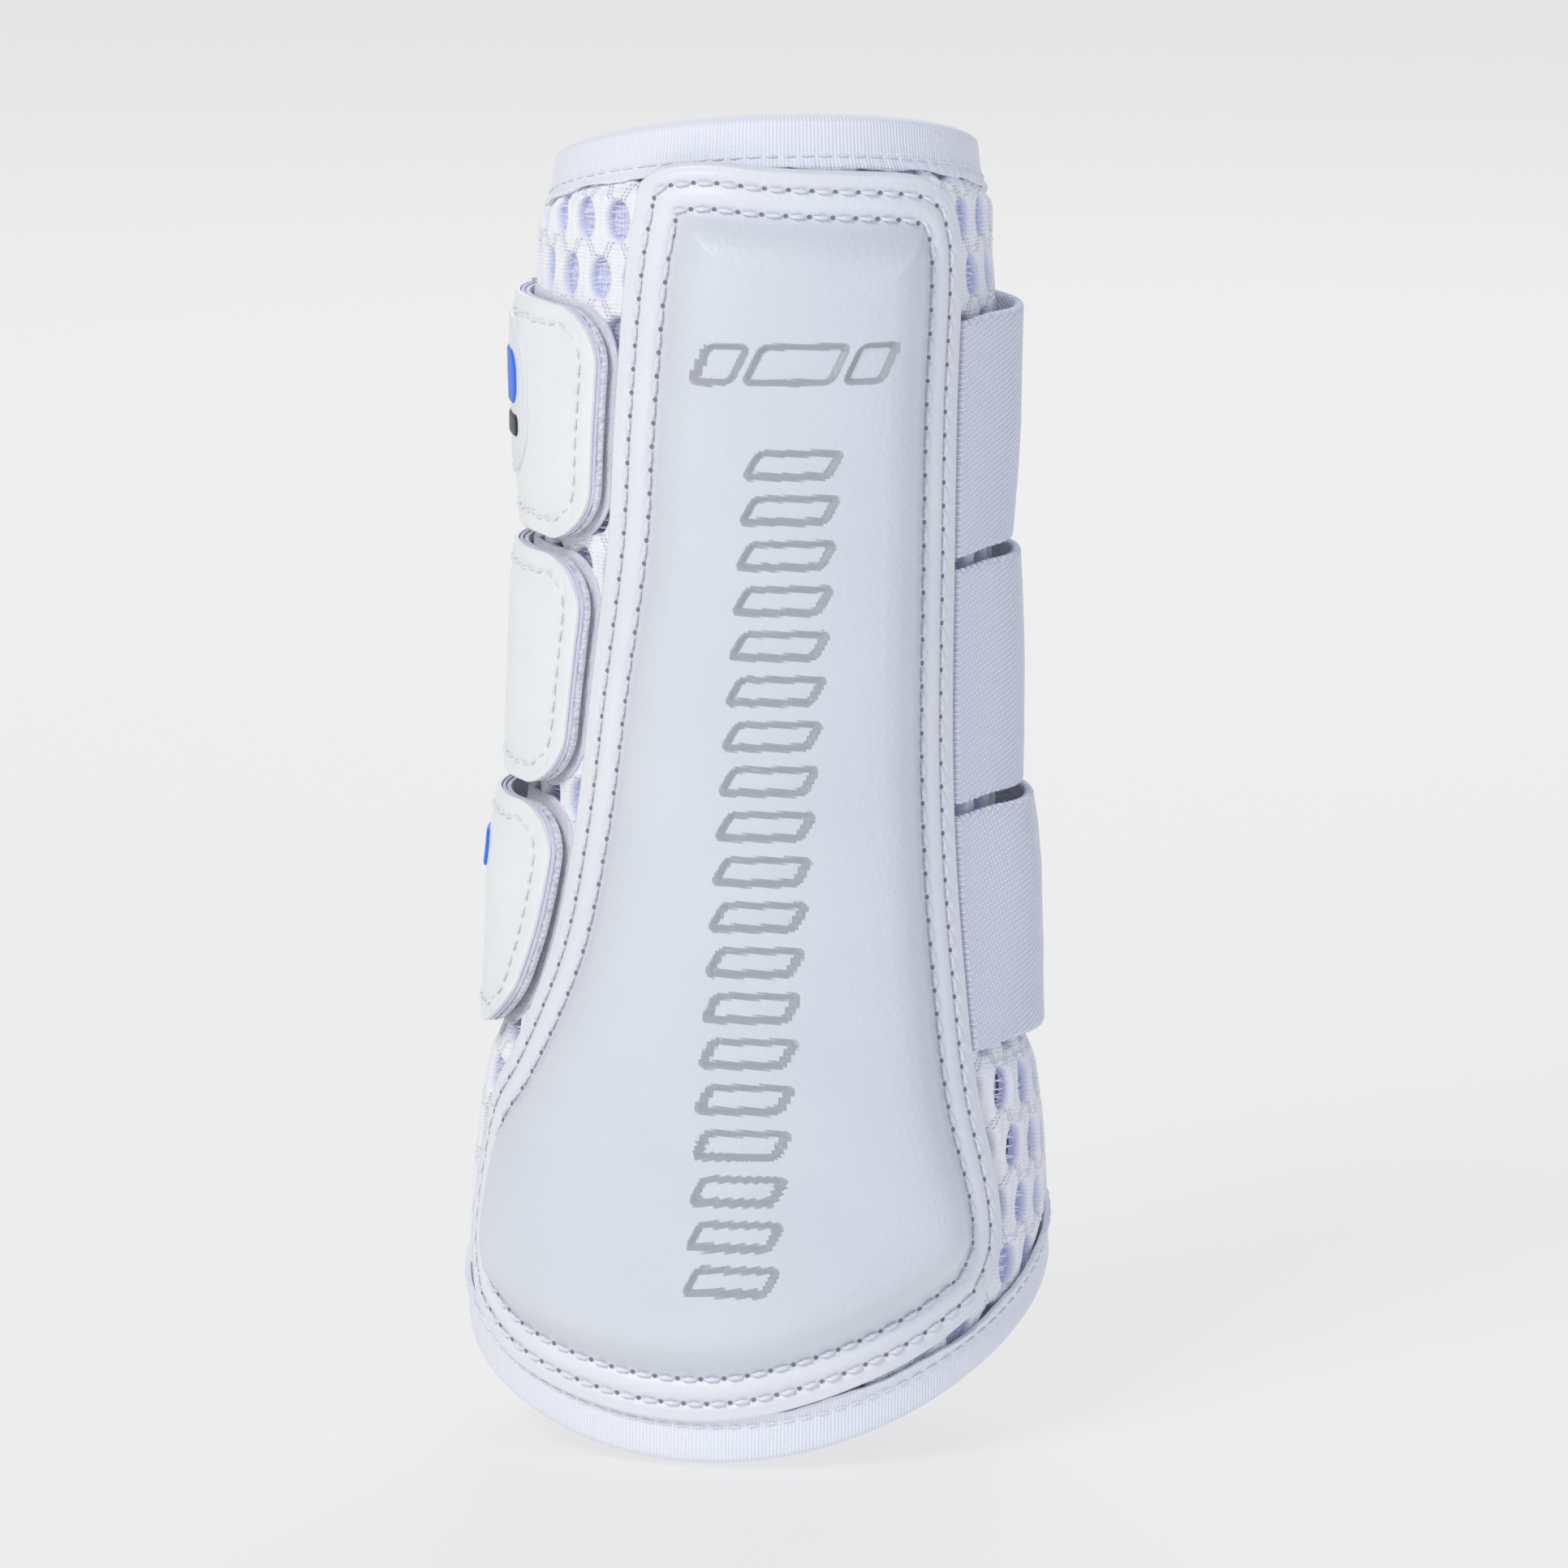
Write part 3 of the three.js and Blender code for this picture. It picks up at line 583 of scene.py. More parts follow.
RING_TAPES = (("top_tape_body", 1, PAD_SEAM, WRAP_RIGHT, ("top_binding",)),
              ("bottom_tape_body", -1, PAD_SEAM, WRAP_RIGHT, ("bottom_binding",)),
              ("top_tape_flap", 1, WRAP_LEFT, PAD_SEAM, ("flap_top_binding",)),
              ("bottom_tape_flap", -1, WRAP_LEFT, PAD_SEAM, ("flap_bottom_binding",)))
for name, towards, left, right, nodes in RING_TAPES:
    edge = top_edge if towards > 0 else bottom_edge

    def round_edge(angle, along, out):
        lean = -0.8 * ease(1 + along / 8.7) if towards > 0 else 2.7
        return on_leg(angle, edge(angle) + towards * along, out + lean)

    run = np.linspace(left, right, int((right - left) / 0.6))
    tape = folded_tape(name, round_edge, run if towards > 0 else run[::-1], grosgrain)
    row = -TAPE_WIDTH + 1.3 + STITCH_FROM_LIP
    line, base = (round_edge(run, row + 0 * run, TAPE_FACE + out) for out in (0.0, 1.0))
    seam = lockstitches(name.replace("tape", "tape_seam"), line, (base - line) * 1000, 3.4, 3.0, 0.2, thread)
    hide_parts(*nodes)
    for piece in (tape, seam):
        hang(piece, left)

OPENING_TAPES = (("opening_tape_body", WRAP_RIGHT, 1, "body", "opening_binding"),
                 ("opening_tape_flap", WRAP_LEFT, -1, "closing_flap", "flap_opening_binding"))
for name, at, towards, body, node in OPENING_TAPES:
    run = np.linspace(bottom_edge(at) + TAPE_WIDTH + 0.4, top_edge(at) - TAPE_WIDTH - 0.4, 260)

    def up_edge(height, along, out):
        return on_leg(at + towards * degrees_for(along, height), height, out + rim_flare(at, height))

    tape = folded_tape(name, up_edge, run[::-1] if towards > 0 else run, grosgrain)
    row = -TAPE_WIDTH + 1.3 + STITCH_FROM_LIP
    line, base = (up_edge(run, row, TAPE_FACE + out) for out in (0.0, 1.0))
    seam = lockstitches(name.replace("tape", "tape_seam"), line, (base - line) * 1000, 3.4, 3.0, 0.2, thread)
    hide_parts(node)
    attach(tape, body)
    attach(seam, body)

# ---- Strike pad ----
# Synthetic leather over moulded foam, stitched down twice round its edge: a rolled piping, a padded ridge
# between the two rows, then a bevel up to the raised panel, which is embossed with a plain motif of bars.
PAD_SEAT, ROLL_WIDTH, INNER_SEAM, RIDGE_END = 0.75, 3.9, 8.76, 9.3
PAD_RINGS = np.concatenate([np.linspace(0, ROLL_WIDTH, 9), np.linspace(ROLL_WIDTH, RIDGE_END, 11)[1:],
                            np.linspace(RIDGE_END, 18.5, 15)[1:]])


def pad_profile(distance):
    """Height of the pad's face over its seat against the distance in from its edge: piping, a seam's groove,
    the ridge, the other groove, the bevel and the panel."""
    known = np.array([(0, 0.0), (0.25, 1.2), (0.7, 1.8), (1.1, 1.75), (1.5, 1.55), (2.4, 1.95), (3.2, 1.7),
                      (ROLL_WIDTH, 1.3), (4.5, 1.75), (5.3, 2.25), (6.4, 2.5), (7.6, 2.35), (8.3, 1.95),
                      (INNER_SEAM, 1.65), (RIDGE_END, 2.0), (10.2, 2.5), (12.8, 5.3), (15.6, 7.1),
                      (18.5, 7.75), (22, 7.95), (60, 8.1)])
    fine = np.linspace(0, 60, 1201)
    height = np.interp(fine, known[:, 0], known[:, 1])
    spread = np.hanning(15)[1:-1] / np.hanning(15).sum()
    soft = np.convolve(np.pad(height, 6, mode="edge"), spread, mode="valid")
    return np.interp(distance, fine, np.where(fine < 0.4, height, soft))


def rounded_box(place, centre, half, corner):
    """Signed distance to a rounded rectangle, negative inside."""
    q = np.abs(place - centre) - np.array(half) + corner
    return np.hypot(*np.moveaxis(np.maximum(q, 0), -1, 0)) + np.minimum(q.max(-1), 0) - corner


def motif(flat):
    """How deep the emboss is pressed, 0 to 1: three slanted bars over a leaning ladder of slanted rungs."""
    slant = 0.4 * (flat[..., 1] - 89.0)
    marks = [rounded_box(flat - np.stack([slant, 0 * slant], -1), [middle, 89.0], [half, 3.4], 1.2)
             for middle, half in ((-7.0, 3.0), (4.9, 6.6), (16.8, 3.0))]
    count = np.clip(np.round((70 - flat[..., 1]) / 8.6), 0, 18)
    from_rung = flat[..., 1] - 70 + 8.6 * count
    lean = flat[..., 0] - 4.6 + (72 - flat[..., 1]) * 0.058 - 0.4 * from_rung
    rungs = rounded_box(np.stack([lean, from_rung], -1), [0, 0], [6.3, 2.2], 0.9)
    return ease(0.5 - np.minimum.reduce([*marks, rungs]) / 1.1)


# Rays run from the outline's points to a spine down the middle; each ring is where they reach one distance.
SPINE_TOP, SPINE_BOTTOM = np.array([4.5, 84.0]), np.array([-11.0, -58.0])
outline = pad_outline
along = SPINE_BOTTOM - SPINE_TOP
share = np.clip(((outline - SPINE_TOP) @ along) / (along @ along), 0, 1)
target = SPINE_TOP + share[:, None] * along
walk = np.linspace(0, 1, 64)
ray = outline[:, None] + walk[:, None] * (target - outline)[:, None]
away = np.maximum.accumulate(distance_to(outline[::3], ray), axis=1)
away[:, 0] = 0
stations = np.stack([np.interp(PAD_RINGS, away[i], walk) for i in range(len(outline))])
deeper = stations[:, -1:] + (1 - stations[:, -1:]) * np.linspace(0, 1, 56)[1:]
stations = np.concatenate([stations, deeper], axis=1)
flat = outline[:, None] + stations[..., None] * (target - outline)[:, None]
from_edge = distance_to(outline[::3], flat)
from_edge[:, 0] = 0
press = motif(flat)
face = pad_profile(from_edge)
softness = ease((np.arange(stations.shape[1]) - 19) / 5)
for _ in range(7):
    round_pad = (np.roll(face, 1, axis=0) + np.roll(face, -1, axis=0)) / 2
    inward = np.concatenate([face[:, :1], (face[:, :-2] + face[:, 2:]) / 2, face[:, -1:]], axis=1)
    face = face + 0.5 * softness * ((round_pad + inward) / 2 - face)
face = face + 0.12 * np.sin(flat[..., 1] / 17) * ease(from_edge / 20) - 0.8 * press
pad_angle = np.degrees(flat[..., 0] / mean_radius(flat[..., 1]))
skin = on_leg(pad_angle, flat[..., 1], PAD_SEAT + face)
loops, rings = skin.shape[:2]
vertex = np.arange(loops * rings).reshape(loops, rings)
following = np.roll(vertex, -1, axis=0)
skin_faces = ring_faces(vertex, following)
under = on_leg(pad_angle[:, [0, 24, rings - 1]], flat[:, [0, 24, rings - 1], 1], PAD_SEAT - 0.35)
under_vertex = np.arange(loops * 3).reshape(loops, 3) + loops * rings
under_next = np.roll(under_vertex, -1, axis=0)
under_faces = np.stack([under_vertex[:, :-1], under_vertex[:, 1:], under_next[:, 1:], under_next[:, :-1]], -1)
wall_faces = np.stack([under_vertex[:, 0], under_next[:, 0], following[:, 0], vertex[:, 0]], -1)
skin_points = np.concatenate([skin.reshape(-1, 3), under.reshape(-1, 3)])
face_map = np.stack([flat[..., 0], flat[..., 1], press * 1000], -1)
under_map = np.concatenate([flat[:, [0, 24, rings - 1]], np.zeros((loops, 3, 1))], -1)
pad_maps = np.concatenate([face_map.reshape(-1, 3), under_map.reshape(-1, 3)])

# Share of painted highlight: 1 on the piping and the ridge, fading to nothing at the ridge's inner end.
rolled = ease((RIDGE_END - from_edge) / 1.5).reshape(-1)
edge_highlight_maps = np.concatenate([rolled, np.ones(loops * 3)])[:, None] * np.ones(3)

# Polyurethane leather, calendered with a fine pebble grain a millimetre across: satin and cool white,
# with a painted highlight that makes it paler on the rolled edge and the ridge.
leather, tree, shader = new_material("polyurethane_leather", 0.42, IOR=1.48, Coat_Weight=0.12,
                                     Coat_Roughness=0.3)
laid = add_node(tree, "Attribute", attribute_name="pad").outputs["Vector"]
spots = add_node(tree, "TexVoronoi", {"Vector": laid, "Scale": 1050.0},
                 feature="SMOOTH_F1").outputs["Distance"]
creases = add_node(tree, "TexNoise", {"Vector": laid, "Scale": 900.0, "Detail": 3.0}).outputs["Fac"]
grain = add_node(tree, "Math", {0: creases, 1: spots}, operation="ADD").outputs[0]
relief(tree, shader, grain, 0.1)
clouds = add_node(tree, "TexNoise", {"Vector": laid, "Scale": 35.0, "Detail": 2.0}).outputs["Fac"]
edge = add_node(tree, "Attribute", attribute_name="edge").outputs["Fac"]
# Painted highlight: the edge share lightens the rolled edge and the ridge.
painted_edge_highlight = add_node(tree, "Math", {0: edge, 1: 0.42}, operation="MULTIPLY").outputs[0]
tone_and_edge_highlight = add_node(tree, "Math", {0: clouds, 1: 0.35, 2: painted_edge_highlight},
                 operation="MULTIPLY_ADD").outputs[0]
two_colours(tree, shader, tone_and_edge_highlight, "#DADFE6", "#FCFDFF")
polish = add_node(tree, "MapRange", {"Value": creases, "To Min": 0.36, "To Max": 0.5}).outputs[0]
tree.links.new(polish, shader.inputs["Roughness"])

all_faces = np.concatenate([skin_faces, under_faces.reshape(-1, 4), wall_faces])
pad = make_piece("strike_pad", skin_points, all_faces, leather, pad=pad_maps / 1000, edge=edge_highlight_maps)
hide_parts("pad_skin", "pad_foam", "pad_backing")
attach(pad, "body")

# Needle holes between the stitches: little bowls where the thread pulls the leather down into the foam,
# coloured dark as painted shade.
PAD_STITCH = 4.5
needle_hole_shade, tree, shader = new_material("needle_hole_painted_shade", 0.9)
place = add_node(tree, "TexCoord").outputs["Object"]
shade_mottle = add_node(tree, "TexNoise", {"Vector": place, "Scale": 2000.0}).outputs["Fac"]
two_colours(tree, shader, shade_mottle, "#6A6C78", "#9A9CA6")


def needle_holes(name, path, outward, pitch, radius):
    """A bowl at each end of each stitch: two rings of eight points round the hole and a floor of quads."""
    middle, up, ahead = evenly_along(path, outward, pitch, 0)
    middle, up, ahead, aside = (line[:, None] for line in (middle, up, ahead, np.cross(up, ahead)))
    ring = (np.arange(8) * np.pi / 4)[:, None]
    levels = [(radius, 0.26), (radius * 0.55, 0.16)]
    points = np.stack([middle + (size * (ahead * np.cos(ring) + aside * np.sin(ring)) + rise * up) / 1000
                       for size, rise in levels], axis=1)
    vertex = np.arange(len(points) * 16).reshape(-1, 2, 8)
    next_one = np.roll(vertex, -1, axis=2)
    bowl = np.stack([vertex[:, 0], next_one[:, 0], next_one[:, 1], vertex[:, 1]], -1).reshape(-1, 4)
    base = np.concatenate([vertex[:, 1, corners] for corners in ([0, 1, 2, 3], [0, 3, 4, 7], [7, 4, 5, 6])])
    return make_piece(name, points.reshape(-1, 3), np.concatenate([bowl, base]), needle_hole_shade)


for name, distance in (("pad_outer_seam", ROLL_WIDTH), ("pad_inner_seam", INNER_SEAM)):
    at = np.stack([np.interp(distance, away[i], walk) for i in range(loops)])
    row = outline + at[:, None] * (target - outline)
    row_angle = np.degrees(row[:, 0] / mean_radius(row[:, 1]))
    base = PAD_SEAT + pad_profile(distance)
    line, raised = (on_leg(row_angle, row[:, 1], base + out) for out in (0.0, 1.0))
    line, raised = (np.concatenate([ring, ring[:1]]) for ring in (line, raised))
    outward = (raised - line) * 1000
    seam = lockstitches(name, line, outward, PAD_STITCH, 3.5, 0.4, thread, lie=0.2)
    holes = needle_holes(name.replace("seam", "needle_holes"), line, outward, PAD_STITCH, 0.47)
    for piece in (seam, holes):
        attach(piece, "body")

# ---- Touch-tape loop patches ----
# Brushed loop tape sewn to the left side, where the tabs close: a dense pale lilac pile on a woven ground.
LOOP_SEAT, LOOP_THICKNESS = 0.1, 0.6
HOOK_SEAT, HOOK_THICKNESS = 1.3, 1.05
TAB_CORNER = 11.0
FLAP_HINGE, TAB_HINGE = -100.0, -112.0


def pad_left_edge(height):
    """Angle of the strike pad's left edge at a height."""
    return np.interp(height, pad_left[::-1, 1], pad_left[::-1, 0])


def strap_middle(strap, angle):
    level, rise = strap
    return level - rise * np.minimum(np.sin(np.radians(angle)), 0)


def corner_cut(radius, distance):
    """How far a rounded corner cuts the end back at a distance from the piece's edge."""
    inside_it = radius - np.minimum(distance, radius)
    return radius - np.sqrt(np.maximum(radius ** 2 - inside_it ** 2, 0))


def rounding(share):
    """Quarter-circle fall at a border: 1 on the very edge, 0 from share 1 inwards."""
    return 1 - np.sqrt(np.clip(1 - (1 - np.clip(share, 0, 1)) ** 2, 0, 1))


# How far each band stands off the even wall at seven places across it, from its lower edge up: at the right
# side, where it bridges the flare like a hoop, and at the left side under its tab.
ACROSS_BAND = np.array([-22.5, -14, -8, 0, 8, 16, 22.5])
RIGHT_STAND = ((-1.8, -1.0, -0.5, -0.1, -0.1, -0.1, -0.1), (-0.1, 0.6, 0.8, 1.0, 0.8, 0.3, -0.2),
               (-0.8, 0.3, 1.2, 1.9, 2.5, 2.3, 1.6))
LEFT_STAND = ((-0.6, -0.5, -0.4, -0.3, 0.0, 0.2, 0.3), (1.5, 1.4, 1.3, 1.2, 1.0, 0.7, 0.4),
              (0.9, 1.4, 1.8, 2.5, 3.1, 3.0, 2.7))


def left_stand(strap, angle, up):
    """The left side's extra stand of a strap, let down to the loop pile towards its free end."""
    table = LEFT_STAND[STRAP_LEVELS.index(strap)]
    return np.interp(up, ACROSS_BAND, table) * ease((-52 - angle) / 25)


def side_layer(strap, first, clearance, seat, thickness, inset, columns, sag=0.0, edge_round=0.5,
               half=HALF_STRAP):
    """A layer on the left side between an angle and the pad's edge, less a clearance and with round corners.
    The outer face falls by edge_round at its border, inset trims every side, and sag is 1 for a layer that
    stands off the leg with its strap and lifts a little at its end."""
    half_up = half - inset
    corner = TAB_CORNER - inset
    ups = half_up * np.sin(np.linspace(-np.pi / 2, np.pi / 2, 61))
    share = 1 - (1 - np.linspace(0, 1, columns)) ** 1.5
    share, up = np.meshgrid(share, ups)
    height = strap[0] + up
    cut = corner_cut(corner, half_up - np.abs(up))
    last = pad_left_edge(height) - degrees_for(cut + clearance + inset, height)
    angle = first + (last - first) * share
    level = strap_middle(strap, angle) + up
    to_end = np.radians(last - angle) * mean_radius(height) + cut * 0.5
    border = np.minimum(half_up - np.abs(up), to_end)
    drop = edge_round * rounding(border / (2 * edge_round))
    lift = sag * (left_stand(strap, angle, up) + 0.8 * (1 - ease(to_end / 9)))
    return angle, level, seat + lift, seat + thickness + lift - drop, border


# Brushed nylon loop: a soft, uneven nap about 0.4 mm deep that scatters light like felt.
nap, tree, shader = new_material("brushed_nylon_loop", 0.95, Sheen_Weight=0.7, Sheen_Roughness=0.35)
cloth = add_node(tree, "Attribute", attribute_name="cloth").outputs["Vector"]
fuzz = add_node(tree, "TexNoise", {"Vector": cloth, "Scale": 1100.0, "Detail": 4.0,
                "Roughness": 0.7}).outputs["Fac"]
tufts = add_node(tree, "TexNoise", {"Vector": cloth, "Scale": 260.0, "Detail": 2.0}).outputs["Fac"]
two_colours(tree, shader, tufts, "#E6E5F8", "#FBFAFF")
relief(tree, shader, fuzz, 0.5)

for number, strap in enumerate(STRAP_LEVELS, 1):
    angle, level, inner, outer, border = side_layer(strap, FLAP_HINGE + 0.6, 0.7, LOOP_SEAT, LOOP_THICKNESS,
                                                    0.0, 44, half=23.2)
    nappy = outer + 0.18 * np.sin(angle * 3.1) * np.sin(level * 0.9) * (border > 1)
    points, faces = closed_sheet(on_leg(angle, level, nappy), on_leg(angle, level, inner))
    maps = cloth_map(angle, level, outer)
    patch = make_piece(f"loop_pile_{number}", points, faces, nap, cloth=np.concatenate([maps, maps]))
    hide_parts(f"loop_patch_{number}")
    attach(patch, "body")

# ---- Elastic straps ----
# Woven rubber-core elastic, 45 mm wide and 2 mm thick, sewn under the pad's right edge and round to the tab.
# Its twill ribs climb to the right, about one in three, and the selvedges scallop where each rib turns.
TWILL_PITCH, TWILL_SLOPE = 1.07, 0.36
ELASTIC_THICKNESS, STAND_OFF = 2.0, 4.0

# Polyester-covered elastic: rope-like ribs a millimetre apart, each twisted yarn with a painted highlight on
# its beads.
twill, tree, shader = new_material("twill_elastic", 0.7, Sheen_Weight=0.35, Sheen_Roughness=0.4)
woven = add_node(tree, "Attribute", attribute_name="woven").outputs["Vector"]
split = add_node(tree, "SeparateXYZ", {0: woven})
rib_wave = add_node(tree, "Math", {0: split.outputs[0]}, operation="SINE").outputs[0]
rib_top = add_node(tree, "MapRange", {"Value": rib_wave, "From Min": -1.0, "From Max": 0.6},
                   interpolation_type="SMOOTHSTEP").outputs[0]
bead_wave = add_node(tree, "Math", {0: split.outputs[1]}, operation="SINE").outputs[0]
bead_top = add_node(tree, "MapRange", {"Value": bead_wave, "From Min": -1.0,
                    "From Max": 0.7}).outputs[0]
bead_low = add_node(tree, "Math", {0: bead_top, 1: 0.55, 2: 0.45},
                    operation="MULTIPLY_ADD").outputs[0]
rope_relief_and_painted_light = add_node(tree, "Math", {0: rib_top, 1: bead_low}, operation="MULTIPLY").outputs[0]
relief(tree, shader, rope_relief_and_painted_light, 0.3)
# Painted light: the colour is lighter on the rib and bead tops and darker in the grooves, as painted shade.
two_colours(tree, shader, rope_relief_and_painted_light, "#E3EAFF", "#FCFDFF")

ELASTIC_BEND = [tuple(on_leg(angle, 0, 5)) for angle in (132, 150)]
TAB_BEND = [tuple(np.array([0.0, on_leg(angle, 0, 5)[1], 0.0])) for angle in (-116, -104)]
for number, strap in enumerate(STRAP_LEVELS, 1):
    level, rise = strap
    ups = np.concatenate([[-22.5, -22.3, -21.9], np.linspace(-21.2, 21.2, 33), [21.9, 22.3, 22.5]])
    share, up = np.meshgrid(np.linspace(0, 1, 620), ups)
    first = np.interp(level + up, pad_right[:, 1], pad_right[:, 0]) + degrees_for(0.4, level + up)
    angle = first + (TAB_HINGE + 360 - 0.5 - first) * share
    length = np.radians(angle) * mean_radius(level)
    pick = 2 * np.pi * (up - TWILL_SLOPE * length) / TWILL_PITCH
    scallop = 0.2 * np.sin(2 * np.pi * length / 1.5) * ease((np.abs(up) - 21) / 1.5)
    drop = 1.2 * (1 - ease((angle - 52) / 16))
    middle = strap_middle(strap, np.where(angle > 180, angle - 360, angle)) - drop
    cup = 0.5 * (up / 22.5) ** 2 - 0.25
    lift = 0.75 + (STAND_OFF - 0.75) * ease((angle - 52) / 30)
    sink = 1.6 * ease((angle - 240) / 7)
    loose = ease((angle - 70) / 20) * (1 - ease((angle - 230) / 10))
    billow = 0.35 * np.sin(np.radians(angle) * 6 + number) * loose
    rim = 0.75 * rounding((HALF_STRAP - np.abs(up)) / 0.8)
    hoop = np.interp(up, ACROSS_BAND, RIGHT_STAND[number - 1]) * ease((angle - 55) / 25)
    turned = ease((angle - 150) / 80)
    fit = hoop * (1 - turned) + left_stand(strap, angle - 360, up) * turned
    stand = lift + fit + billow * 0.5 - sink + cup * ease((angle - 60) / 20) * 0.6
    height = middle + up + np.sign(up) * scallop
    face, back = stand + ELASTIC_THICKNESS - rim, stand + rim
    points, faces = closed_sheet(on_leg(angle, height, face), on_leg(angle, height, back))
    bead = 2 * np.pi * (length + 0.3 * up) / 0.8
    maps = np.stack([pick, bead, 0 * pick], -1).reshape(-1, 3)
    band = make_piece(f"elastic_{number}", points, faces, twill, woven=np.concatenate([maps, maps]))
    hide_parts(f"strap_{number}_anchor", f"strap_{number}_elastic")
    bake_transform(band)

# ---- Closing tabs ----
# Smooth polyurethane face, a felted backing and white hook tape, stitched together round the edge and over
# the end of the elastic. The layers show as steps at the rounded end, with the hook tape a little proud.
TAB_SEAT, TAB_THICKNESS = 3.25, 0.95
BACKING_SEAT, BACKING_THICKNESS = 2.4, 0.75
TAB_TO_PAD, SEAM_IN = 2.6, 3.7

# Polyurethane film on foam, smooth and warm white with a light satin shine and soft wrinkles by the stitches.
film, tree, shader = new_material("polyurethane_film", 0.38, IOR=1.48, Coat_Weight=0.15,
                                  Coat_Roughness=0.25)
cloth = add_node(tree, "Attribute", attribute_name="cloth").outputs["Vector"]
skin_grain = add_node(tree, "TexNoise", {"Vector": cloth, "Scale": 1600.0,
                      "Detail": 2.0}).outputs["Fac"]
wrinkle = add_node(tree, "TexNoise", {"Vector": cloth, "Scale": 120.0, "Detail": 2.0,
                   "Distortion": 0.5}).outputs["Fac"]
both = add_node(tree, "Math", {0: wrinkle, 1: 6.0, 2: skin_grain},
                operation="MULTIPLY_ADD").outputs[0]
relief(tree, shader, both, 0.03)
two_colours(tree, shader, wrinkle, "#EEF3F3", "#F8FBFA")

# Grey-lilac brushed felt between the film and the hooks.
felt, tree, shader = new_material("needled_felt", 0.95, Sheen_Weight=0.5)
cloth = add_node(tree, "Attribute", attribute_name="cloth").outputs["Vector"]
fibre = add_node(tree, "TexNoise", {"Vector": cloth, "Scale": 1500.0, "Detail": 4.0}).outputs["Fac"]
two_colours(tree, shader, fibre, "#D6D7F0", "#F1F1FF")
relief(tree, shader, fibre, 0.4)

# Moulded nylon hooks: rows of short white bristles 0.8 mm apart, rough to the eye.
hooks, tree, shader = new_material("moulded_nylon_hooks", 0.7, Sheen_Weight=0.4)
cloth = add_node(tree, "Attribute", attribute_name="cloth").outputs["Vector"]
bristle = add_node(tree, "TexVoronoi", {"Vector": cloth, "Scale": 1250.0}).outputs["Distance"]
two_colours(tree, shader, bristle, "#FBFBFF", "#D2D3E4")
relief(tree, shader, bristle, 0.5)

TAB_LAYERS = (("tab_cover", -6.5, 0.0, TAB_SEAT, TAB_THICKNESS, 0.0, film, "", "tab"),
              ("tab_felt", 0.8, 0.4, BACKING_SEAT, BACKING_THICKNESS, 0.1, felt, "_backing", "touch_tape"),
              ("tab_hooks", 0.8, 1.3, HOOK_SEAT, HOOK_THICKNESS, 0.3, hooks, "_hook_tape", "touch_tape"))
for number, strap in enumerate(STRAP_LEVELS, 1):
    for title, ahead, proud, seat, thickness, inset, material, end, slot in TAB_LAYERS:
        first, clearance = TAB_HINGE + ahead, TAB_TO_PAD - proud
        angle, level, inner, outer, border = side_layer(strap, first, clearance, seat, thickness, inset, 70,
                                                        sag=1.0)
        if title == "tab_cover":
            over = 1.9 * (1 - ease((angle - TAB_HINGE) / 5))
            puff = 0.35 * ease((border - 4.2) / 5) - 0.25 * np.exp(-((border - SEAM_IN) / 0.7) ** 2)
            quilt = 0.07 * np.sin(angle * 2.3) * np.exp(-((border - SEAM_IN) / 2.5) ** 2)
            inner, outer = inner + over, outer + over + puff + quilt
        if title == "tab_hooks":
            outer = outer + 0.12 * np.sin(angle * 7.3 + level * 5.1)
        layer = cloth_piece(f"{title}_{number}", angle, level, outer, inner, material)
        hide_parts(f"tab_{number}{end}")
        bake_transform(layer)

    # The seam follows the edge: along the bottom, round the end and back along the top.
    half_up, first = HALF_STRAP - SEAM_IN, TAB_HINGE - 4.0
    swing = np.linspace(0, np.pi / 2, 16)
    radius = TAB_CORNER - SEAM_IN
    low_up, low_back = -half_up + radius * (1 - np.cos(swing)), radius * (1 - np.sin(swing))
    straight = np.linspace(low_up[-1], -low_up[-1], 40)[1:-1]
    up = np.concatenate([low_up, straight, -low_up[::-1]])
    back = np.concatenate([low_back, 0 * straight, low_back[::-1]])
    end = pad_left_edge(strap[0] + up) - degrees_for(back + TAB_TO_PAD + SEAM_IN, strap[0] + up)
    flats = np.linspace(first, end[0], 60)[:-1], np.linspace(end[-1], first, 60)[1:]
    seam_angle = np.concatenate([flats[0], end, flats[1]])
    seam_up = np.concatenate([np.full(59, -half_up), up, np.full(59, half_up)])
    over = 1.9 * (1 - ease((seam_angle - TAB_HINGE) / 5))
    count = np.arange(len(seam_angle))
    wander = 0.22 * np.sin(count * 0.8) + 0.15 * np.sin(count * 0.31)
    level = strap_middle(strap, seam_angle) + seam_up + wander
    to_pad = pad_left_edge(strap[0] + seam_up) - seam_angle
    to_end = np.radians(to_pad) * mean_radius(level) - TAB_TO_PAD
    stand = left_stand(strap, seam_angle, seam_up) + 0.8 * (1 - ease(to_end / 9)) + over
    stand = stand + TAB_SEAT + TAB_THICKNESS - 0.2
    line, raised = (on_leg(seam_angle, level, stand + out) for out in (0.0, 1.0))
    seam = lockstitches(f"tab_seam_{number}", line, (raised - line) * 1000, 3.5, 2.8, 0.28, thread)
    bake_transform(seam)

